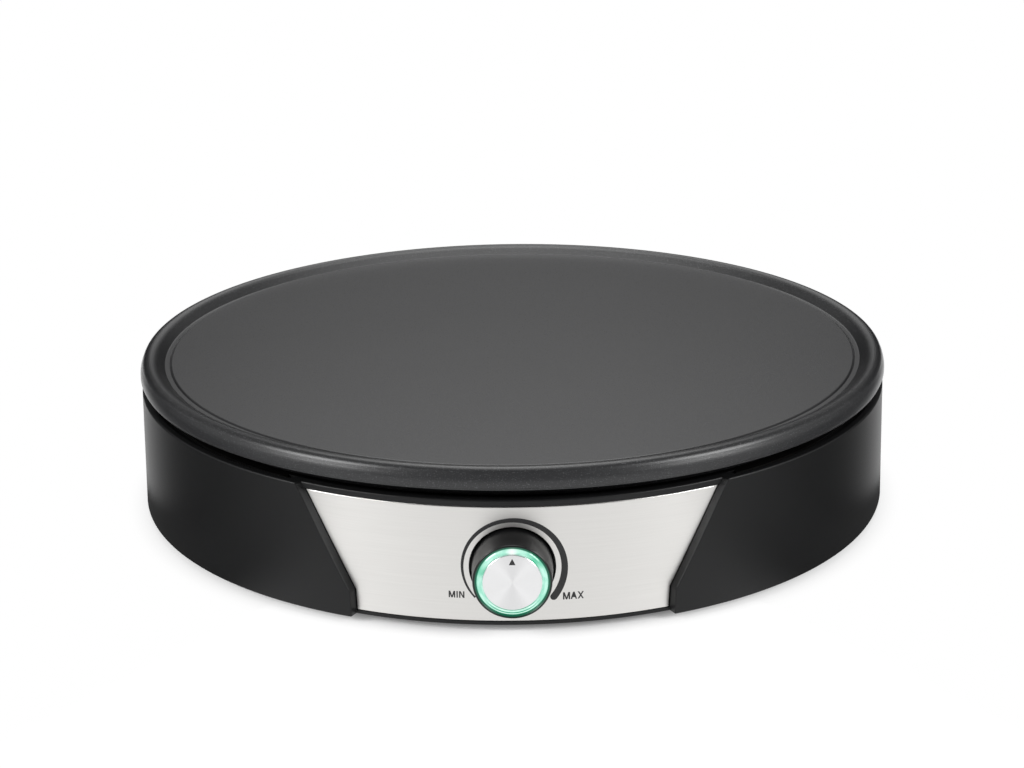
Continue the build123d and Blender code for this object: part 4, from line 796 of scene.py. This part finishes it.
def plate_skin():
    """The plate's top, groove, rolled rim and stepped lower edge, over the CAD's underside."""
    rise = 2.0                     # the underside lies lower than this over the rim's lip
    edge = CREST - RIM_HEIGHT
    flat = CREST - DISH_DEPTH
    flat_radius = PLATE_RADIUS - RIM_WIDTH
    groove_out = flat_radius + GROOVE_DEPTH + GROOVE_WIDTH
    step_depth, step_height = RIM_STEP
    foot = PLATE_RADIUS - RIM_FOOT_WIDTH
    outline = rounded([
        (0.0, flat, 0),
        (flat_radius, flat, 1.0),
        (flat_radius + GROOVE_DEPTH, flat - GROOVE_DEPTH, 0.45),
        (groove_out, flat - GROOVE_DEPTH, 0.9),
        (groove_out + SLOPE_WIDTH, CREST, 6.0),
        (PLATE_RADIUS - RIM_SHOULDER, CREST, 3.4),
        (PLATE_RADIUS, edge + RIM_BAND, 9.0),
        (PLATE_RADIUS, edge + step_height, 0.3),
        (PLATE_RADIUS - step_depth, edge + step_height, 0.12),
        (PLATE_RADIUS - step_depth, edge, 0.15),
        (foot, edge, 0.3),
        (foot - RIM_LIP, edge + RIM_LIP, 0),
    ])
    inner = foot - RIM_LIP

    def below(centre):
        return math.hypot(centre.x, centre.y) < inner and centre.z < edge + RIM_LIP + rise

    skin = Skin()
    skin.lathe(outline, about_plate, PLATE_STEPS)
    skin.rest("cooking_plate", below)
    skin.finish("plate", "cooking_plate", "base")


def recess_half(height):
    """Half width of the front recess at the steel."""
    if height > RECESS_KINK:
        share = (height - RECESS_KINK) / (DRUM_TOP - RECESS_KINK)
        return RECESS_KINK_HALF + (RECESS_TOP_HALF - RECESS_KINK_HALF) * share
    share = (RECESS_KINK - height) / (RECESS_KINK - DRUM_FOOT)
    return RECESS_KINK_HALF + (RECESS_FOOT_HALF - RECESS_KINK_HALF) * share


def drum_radius(height):
    share = (height - DRUM_FOOT) / (DRUM_TOP - DRUM_FOOT)
    return DRUM_FOOT_RADIUS + (DRUM_TOP_RADIUS - DRUM_FOOT_RADIUS) * share


def drum_outline(height, inset, seat, step_in=0.0):
    """The drum's closed outline at a height: wall, rounded corner, slanted cheek and recess floor.

    All of it is set in by inset, and its floor by step_in too. At the sheet's seat its floor lies deeper.
    """
    corner_run = 2.5               # from the corner to the last point of the even wall
    floor_run = 0.7                # from the cheek to the first point of the even floor
    corner_tries = 12              # enough to settle where the cheek meets the wall
    wall = drum_radius(height) - inset
    floor = (SEAT_RADIUS if seat else BAND_RADIUS) - inset - step_in
    share = max(0.0, (height - RECESS_KINK) / (DRUM_TOP - RECESS_KINK))
    spread = CHEEK_SPREAD_FOOT + (CHEEK_SPREAD_TOP - CHEEK_SPREAD_FOOT) * share
    half = recess_half(height) + inset
    steel = math.sqrt(PANEL_RADIUS ** 2 - half ** 2)
    reach = steel
    for _ in range(corner_tries):
        corner_x = half + spread * (reach - steel)
        reach = math.sqrt(wall ** 2 - corner_x ** 2)
    corner_angle = math.asin(corner_x / wall)
    near_angle = corner_angle + corner_run / wall
    near = (wall * math.sin(near_angle), wall * math.cos(near_angle))
    if seat:
        cheek_end = (half, steel)
        seat_end = (half, math.sqrt(floor ** 2 - half ** 2))
    else:
        end_x = half + spread * (math.sqrt(floor ** 2 - half ** 2) - steel)
        cheek_end = (end_x, math.sqrt(floor ** 2 - end_x ** 2))
        seat_x = end_x - floor_run
        seat_end = (seat_x, math.sqrt(floor ** 2 - seat_x ** 2))
    bend = rounded([(*near, 0), (corner_x, reach, CHEEK_EDGE), (*cheek_end, SEAT_EDGE), (*seat_end, 0)])
    right = []
    for step in range(WALL_STEPS):
        angle = math.pi + (near_angle - math.pi) * step / WALL_STEPS
        right.append((wall * math.sin(angle), wall * math.cos(angle)))
    right.extend((point.x, point.y) for point in bend)
    end_angle = math.asin(seat_end[0] / floor)
    for step in range(1, BAND_STEPS + 1):
        angle = end_angle * (1 - step / BAND_STEPS)
        right.append((floor * math.sin(angle), floor * math.cos(angle)))
    left = [(-x, reach) for x, reach in reversed(right[1:-1])]
    return [(x, -reach, height) for x, reach in right + left]


def drum_skin():
    """The drum's outside, the recess in its front, and its top and bottom faces, over the CAD's inside."""
    margin = 0.05                  # the CAD's faces this near the outside are left out
    cheek_margin = 3.5
    wall_margin = 1.0
    # Each level's height, its inset, whether it lies on the sheet's seat, and its floor's own step in.
    levels = [
        (DRUM_FOOT + FOOT_EDGE + SUPPORT, 0.0, False),
        (STEEL_LOW - SEAT_EDGE, 0.0, False),
        (STEEL_LOW, 0.0, False, SEAT_EDGE),
        (STEEL_LOW + SEAT_STEP, 0.0, True),
        (RECESS_KINK, 0.0, True),
        (STEEL_HIGH - SEAT_STEP, 0.0, True),
        (STEEL_HIGH, 0.0, False, SEAT_EDGE),
        (STEEL_HIGH + SEAT_EDGE, 0.0, False),
        (DRUM_TOP - DRUM_EDGE - SUPPORT, 0.0, False),
    ]
    for step in range(1, SEAT_LEVELS):
        levels.append((STEEL_LOW + (STEEL_HIGH - STEEL_LOW) * step / SEAT_LEVELS, 0.0, True))
    levels.extend((DRUM_FOOT + rise, inset, False) for inset, rise in quarter_round(FOOT_EDGE))
    levels.extend((DRUM_TOP - drop, inset, False) for drop, inset in quarter_round(DRUM_EDGE))
    levels.sort()

    skin = Skin()
    outlines = [drum_outline(*level) for level in levels]
    rows = [skin.row(outline) for outline in outlines]
    half_count = len(outlines[0]) // 2
    floor_places = set(range(half_count - BAND_STEPS, half_count + BAND_STEPS))
    for index in range(len(rows) - 1):
        both_seat = levels[index][2] and levels[index + 1][2]
        skin.strip(rows[index], rows[index + 1], closed=True, skip=floor_places if both_seat else ())
    foot_inner = []
    for x, y, _ in outlines[0]:
        scale = FLANGE_RADIUS / math.hypot(x, y)
        foot_inner.append((x * scale, y * scale, DRUM_FOOT))
    skin.strip(skin.row(foot_inner), rows[0], closed=True)
    top_inner = []
    for x, y, _ in outlines[-1]:
        front = y < 0 and abs(x) < FRONT_WALL_HALF
        scale = (FRONT_WALL_BACK if front else DRUM_TOP_RADIUS - DRUM_WALL) / math.hypot(x, y)
        top_inner.append((x * scale, y * scale, DRUM_TOP))
    skin.strip(rows[-1], skin.row(top_inner), closed=True)

    def inside(centre):
        radius = math.hypot(centre.x, centre.y)
        if centre.z < DRUM_FOOT + margin or centre.z > DRUM_TOP - margin:
            return False
        if centre.y < 0 and abs(centre.x) < RECESS_TOP_HALF + cheek_margin and radius > SEAT_RADIUS + margin:
            return False
        return radius < drum_radius(centre.z) - wall_margin

    skin.rest("housing_shell", inside)
    skin.finish("drum", "housing_shell", "base")


def panel_edge(turn):
    """Distance from the knob's axis to the steel's edge in a direction, and the edge's own lean and round."""
    level = 1e-9                   # below this, the edge runs along the direction
    slack = 1e-6                   # lets a corner count for both its edges
    across = math.sin(turn)
    up = math.cos(turn)
    corners = [
        (recess_half(PANEL_HIGH) - SIDE_SEAM, PANEL_HIGH - KNOB_Z),
        (recess_half(RECESS_KINK) - SIDE_SEAM, RECESS_KINK - KNOB_Z),
        (recess_half(PANEL_LOW) - SIDE_SEAM, PANEL_LOW - KNOB_Z),
    ]
    outline = corners + [(-x, z) for x, z in reversed(corners)]
    best = None
    for (x1, z1), (x2, z2) in zip(outline, outline[1:] + outline[:1]):
        edge_x = x2 - x1
        edge_z = z2 - z1
        cross = across * edge_z - up * edge_x
        if abs(cross) < level:
            continue
        distance = (x1 * edge_z - z1 * edge_x) / cross
        share = (x1 * up - z1 * across) / cross
        if distance > 0 and -slack <= share <= 1 + slack and (best is None or distance < best[0]):
            lean = abs(cross) / math.hypot(edge_x, edge_z)
            is_top = z1 == z2 and z1 > 0
            best = (distance, lean, SHEET_TOP_EDGE if is_top else SHEET_EDGE)
    return best


def panel_skin():
    """The steel sheet, laid out in rays from the knob's hole, with fine rounds along its outline."""
    beside = 0.004                 # radians from each corner's ray to a second one
    turns = [2 * math.pi * step / PANEL_RAYS for step in range(PANEL_RAYS)]
    for height in (PANEL_HIGH, RECESS_KINK, PANEL_LOW):
        half = recess_half(height) - SIDE_SEAM
        corner = math.atan2(half, height - KNOB_Z)
        turns.extend((corner, 2 * math.pi - corner, corner - beside, 2 * math.pi - corner + beside))
    turns.sort()
    skin = Skin()
    rows = []
    for turn in turns:
        far, lean, edge = panel_edge(turn)
        places = [(KNOB_HOLE_RADIUS, SHEET_SIDE)]
        for inset, drop in reversed(quarter_round(SHEET_EDGE)):
            places.append((KNOB_HOLE_RADIUS + SHEET_EDGE - inset, drop))
        first = places[-1][0] + SUPPORT
        last = far - (edge + SUPPORT) / lean
        for step in range(PANEL_STEPS + 1):
            places.append((first + (last - first) * step / PANEL_STEPS, 0.0))
        places.extend((far - inset / lean, drop) for inset, drop in quarter_round(edge))
        places.append((far, SHEET_SIDE))
        points = []
        for distance, drop in places:
            x = distance * math.sin(turn)
            radius = PANEL_RADIUS - drop
            points.append((x, -math.sqrt(radius ** 2 - x ** 2), KNOB_Z + distance * math.cos(turn)))
        rows.append(skin.row(points))
    for index in range(len(rows)):
        skin.strip(rows[index], rows[(index + 1) % len(rows)])

    def back(centre):
        return math.hypot(centre.x, centre.y) < PANEL_RADIUS - SHEET_BACK

    skin.rest("front_panel", back)
    skin.finish("steel_panel", "front_panel", "base")


def knob_skins():
    """The knob's tapered skirt, its coved light ring and its turned cap."""
    inner = RING_RADIUS + SKIRT_GAP
    chamfer_width, chamfer_depth = SKIRT_CHAMFER
    skirt = Skin()
    skirt.lathe(rounded([
        (inner, KNOB_BACK, 0),
        (inner, RING_FRONT - chamfer_depth, 0.1),
        (inner + chamfer_width, RING_FRONT, 0.25),
        (SKIRT_RADIUS - SKIRT_TAPER, RING_FRONT, 0.6),
        (SKIRT_RADIUS, KNOB_BACK, 0.2),
        (inner, KNOB_BACK, 0),
    ]), about_knob, KNOB_STEPS)

    def hub(centre):
        return math.hypot(centre.x, centre.z - KNOB_Z) < RING_RADIUS

    skirt.rest("knob_shell", hub)
    skirt.finish("knob_skirt", "knob_shell", "knob")

    ring_inner = CAP_RADIUS + RING_GAP
    middle = (RING_RADIUS + ring_inner) / 2
    crown_half, crown_drop = RING_CROWN
    ring = Skin()
    ring.lathe(rounded([
        (ring_inner, KNOB_BACK, 0),
        (ring_inner, RING_FRONT - crown_drop, 0.1),
        (middle - crown_half, RING_FRONT, 0.5),
        (middle + crown_half, RING_FRONT, 0.5),
        (RING_RADIUS, RING_FRONT - crown_drop, 0.1),
        (RING_RADIUS, KNOB_BACK, 0.2),
        (ring_inner, KNOB_BACK, 0),
    ]), about_knob, KNOB_STEPS)
    ring.finish("light_ring", "knob_light_ring", "knob")

    cap_back = -cap_high.y
    cap = Skin()
    cap.lathe(rounded([
        (0.0, KNOB_FACE, 0),
        (CAP_RADIUS - CAP_CHAMFER, KNOB_FACE, 0.06),
        (CAP_RADIUS, KNOB_FACE - CAP_CHAMFER, 0.06),
        (CAP_RADIUS, cap_back, 0.1),
        (CAP_RADIUS - CAP_WALL, cap_back, 0.1),
        (CAP_RADIUS - CAP_WALL, KNOB_FACE - CAP_FACE, 0.2),
        (0.0, KNOB_FACE - CAP_FACE, 0),
    ]), about_knob, KNOB_STEPS)
    cap.finish("cap", "knob_cap", "knob")


def gland_skin():
    """The cord's bushing: flange and tapered nose with soft edges, and its sleeve inside."""
    seat = GLAND_NOSE_END - GLAND_REACH
    flange = seat + GLAND_FLANGE
    inner = gland_low.y
    skin = Skin()
    skin.lathe(rounded([
        (GLAND_BORE, inner, 0),
        (GLAND_SLEEVE, inner, 0.3),
        (GLAND_SLEEVE, seat, 0.1),
        (GLAND_FLANGE_RADIUS, seat, 0.2),
        (GLAND_FLANGE_RADIUS, flange, 0.6),
        (GLAND_SLEEVE, flange, 0.4),
        (GLAND_NOSE, GLAND_NOSE_END, 0.4),
        (GLAND_BORE, GLAND_NOSE_END, 0.4),
        (GLAND_BORE, inner, 0),
    ]), about_cord, GLAND_STEPS)
    skin.finish("cord_bushing", "cord_gland", "base")


# --- Printed scale, words and pointer ---


def on_panel(x, z):
    """The point of the steel's face, with the ink's lift, at a place seen straight from the front."""
    radius = PANEL_RADIUS + INK_LIFT
    return Vector((x, -math.sqrt(radius ** 2 - x ** 2), z))


def printed_scale(material):
    """The crescent round the knob, thin at MIN and thick and rounded at MAX."""
    scale = Skin()
    middle_z = KNOB_Z - SCALE_DROP
    rows = []
    for step in range(SCALE_STEPS + 1):
        share = step / SCALE_STEPS
        turn = math.radians(SCALE_START + (SCALE_END - SCALE_START) * share)
        width = SCALE_THIN + (SCALE_THICK - SCALE_THIN) * share
        radii = (SCALE_INNER, SCALE_INNER + width / 2, SCALE_INNER + width)
        places = [(radius * math.sin(turn), middle_z + radius * math.cos(turn)) for radius in radii]
        rows.append(scale.row([on_panel(x, z) for x, z in places]))
    for before, after in zip(rows, rows[1:]):
        scale.strip(before, after)
    turn = math.radians(SCALE_END)
    middle = SCALE_INNER + SCALE_THICK / 2
    tip = []
    for step in range(1, SCALE_TIP_STEPS):
        around = math.pi * step / SCALE_TIP_STEPS
        radius = middle + SCALE_THICK / 2 * math.cos(around)
        past = SCALE_THICK / 2 * math.sin(around)
        x = radius * math.sin(turn) + past * math.cos(turn)
        z = middle_z + radius * math.cos(turn) - past * math.sin(turn)
        tip.append(on_panel(x, z))
    scale.cells.faces.new((*rows[-1], *scale.row(tip)))
    add_piece("dial_scale", scale.mesh("dial_scale"), material, "base")


def letter_shapes(letter, start):
    """The four-cornered strokes of a letter that starts at a place along the baseline."""
    _, strokes, bar = LETTERS[letter]
    half = LETTER_STROKE / 2
    shapes = []
    for foot, top in strokes:
        corners = [(foot - half, 0.0), (foot + half, 0.0), (top + half, 1.0), (top - half, 1.0)]
        shapes.append([Vector((start + x, y)) for x, y in corners])
    if bar:
        left, right, low, high = bar
        corners = [(left, low), (right, low), (right, high), (left, high)]
        shapes.append([Vector((start + x, y)) for x, y in corners])
    return shapes


def printed_word(text, material):
    """A word on the steel, bent round with it; its strokes are merged so that none lies on another."""
    middle, baseline, size, gap = WORDS[text]
    total = sum(LETTERS[letter][0] for letter in text) + gap * (len(text) - 1)
    start = -total / 2
    points = []
    loops = []
    for letter in text:
        for shape in letter_shapes(letter, start):
            loops.append(list(range(len(points), len(points) + len(shape))))
            points.extend(shape)
        start += LETTERS[letter][0] + gap
    corners, _, faces, *_ = delaunay_2d_cdt(points, [], loops, 1, 1e-6)
    places = [on_panel(middle + spot.x * size, KNOB_Z + baseline + spot.y * size) * MM for spot in corners]
    name = "word_" + text.lower()
    mesh = bpy.data.meshes.new(name)
    mesh.from_pydata(places, [], faces)
    add_piece(name, mesh, material, "base")


def pointer(material):
    """The small triangle on the cap that points at the scale."""
    depth = -(KNOB_FACE + POINTER_LIFT) * MM
    half = POINTER_HALF_WIDTH * CAP_RADIUS * MM
    tip = (KNOB_Z + POINTER_TIP * CAP_RADIUS) * MM
    base = (KNOB_Z + POINTER_BASE * CAP_RADIUS) * MM
    mesh = bpy.data.meshes.new("pointer")
    mesh.from_pydata([(-half, depth, base), (half, depth, base), (0.0, depth, tip)], [], [(0, 1, 2)])
    add_piece("pointer", mesh, material, "knob")


# --- Studio ---


def camera():
    """The camera, aimed by its yaw and drop, with a slight roll."""
    forward = Vector((
        -math.sin(CAMERA_YAW) * math.cos(CAMERA_DROP),
        math.cos(CAMERA_YAW) * math.cos(CAMERA_DROP),
        -math.sin(CAMERA_DROP),
    ))
    right = Vector((math.cos(CAMERA_YAW), math.sin(CAMERA_YAW), 0.0))
    up = right.cross(forward)
    turned_right = right * math.cos(CAMERA_ROLL) + up * math.sin(CAMERA_ROLL)
    turned_up = up * math.cos(CAMERA_ROLL) - right * math.sin(CAMERA_ROLL)
    data = bpy.data.cameras.new("camera")
    data.lens = CAMERA_LENS
    data.sensor_width = CAMERA_SENSOR
    made = bpy.data.objects.new("camera", data)
    rotation = Matrix((turned_right, turned_up, -forward)).transposed()
    place = CAMERA_TARGET - forward * CAMERA_REACH
    made.matrix_world = Matrix.Translation(place * MM) @ rotation.to_4x4()
    bpy.context.scene.collection.objects.link(made)
    bpy.context.scene.camera = made


def softbox(name, place, width, height, power):
    """A rectangular area light aimed at the object."""
    data = bpy.data.lights.new(name, "AREA")
    data.shape = "RECTANGLE"
    data.size = width
    data.size_y = height
    data.energy = power
    lamp = bpy.data.objects.new(name, data)
    lamp.location = place
    lamp.rotation_euler = (Vector(LAMP_TARGET) - Vector(place)).to_track_quat("-Z", "Y").to_euler()
    bpy.context.scene.collection.objects.link(lamp)


def surround():
    """A white world. Gloss sees it light low in front, in the back's middle and at the sides, else dark."""
    world = bpy.data.worlds.new("studio")
    bpy.context.scene.world = world
    world.use_nodes = True
    background = world.node_tree.nodes["Background"]
    background.inputs["Color"].default_value = (1.0, 1.0, 1.0, 1.0)
    w = Tree(world.node_tree)
    sideways, backwards, up = w.split(w.node("ShaderNodeTexCoord").outputs["Generated"])
    aside = w.math("ABSOLUTE", sideways)
    back = w.math("MULTIPLY", w.ramp(up, *GLOSS_BACK), w.ramp(aside, *GLOSS_MIDDLE))
    below = w.math("MULTIPLY", w.ramp(up, *GLOSS_BELOW), w.ramp(aside, *GLOSS_CORNER))
    sides = w.math("MULTIPLY", w.ramp(up, *GLOSS_RISE), w.ramp(aside, *GLOSS_SIDE))
    behind = w.math("MAXIMUM", back, below)
    gloss = w.choose(w.ramp(backwards, *GLOSS_TURN), w.ramp(up, *GLOSS_FRONT), behind)
    gloss = w.math("MAXIMUM", gloss, sides)
    strength = w.choose(w.seen("Is Glossy Ray", "Is Transmission Ray"), WORLD_LIGHT, gloss)
    strength = w.choose(w.seen("Is Camera Ray"), strength, 1.0)
    w.link(strength, background.inputs["Strength"])


def floor_paper():
    """Pale matt paper: white at its edge for the camera, and lit for gloss, with two places of painted shade
    beside the object.
    """
    s = Shader("floor_paper")
    angle, distance = angle_about(s, s.object_point())
    away = s.math("ABSOLUTE", angle)
    s.set(Base_Color=(0.88, 0.88, 0.88), Roughness=0.9)
    s.bump(s.noise(2.0 * MM, 3.0), 0.02 * MM, 0.2)
    camera_rays = s.seen("Is Camera Ray")
    gloss_rays = s.seen("Is Glossy Ray", "Is Transmission Ray")
    faded = s.math("MULTIPLY", s.ease(distance, *PAPER_FADE), camera_rays)
    # Painted shade: gloss sees the paper darker at the front's sides, standing in for the object's shade on
    # the floor there.
    start, full, turn, end = (math.radians(degrees) for degrees in PAPER_SHADE)
    dark = s.math("SUBTRACT", s.ease(away, start, full), s.ease(away, turn, end))
    white = s.node("ShaderNodeEmission")
    s.link(s.math("MAXIMUM", s.spread(dark, *PAPER_GLOSS), camera_rays), white.inputs["Strength"])
    blend = s.node("ShaderNodeMixShader")
    s.link(s.math("MAXIMUM", faded, gloss_rays), blend.inputs["Fac"])
    s.link(s.surface.outputs[0], blend.inputs[1])
    s.link(white.outputs[0], blend.inputs[2])
    s.link(blend.outputs[0], s.tree.nodes["Material Output"].inputs["Surface"])
    return s.material


def studio():
    """The white surround, the floor and the softboxes."""
    surround()
    mesh = bpy.data.meshes.new("floor")
    turns = [math.pi * step / PAPER_STEPS for step in range(PAPER_STEPS + 1)]
    edge = [(PAPER_HALF * math.cos(turn), PAPER_HALF * math.sin(turn), 0.0) for turn in turns]
    edge.extend([(-PAPER_HALF, PAPER_FRONT, 0.0), (PAPER_HALF, PAPER_FRONT, 0.0)])
    mesh.from_pydata(edge, [], [range(len(edge))])
    floor = bpy.data.objects.new("floor", mesh)
    floor.location.z = -PAPER_DROP
    floor.data.materials.append(floor_paper())
    bpy.context.scene.collection.objects.link(floor)
    for name, (place, width, height, power) in LAMPS.items():
        softbox(name, place, width, height, power)


bpy.context.scene.view_settings.view_transform = "Standard"
camera()
paint_nodes()
plate_skin()
drum_skin()
panel_skin()
knob_skins()
gland_skin()
black_ink = ink()
printed_scale(black_ink)
for word in WORDS:
    printed_word(word, black_ink)
pointer(black_ink)
studio()
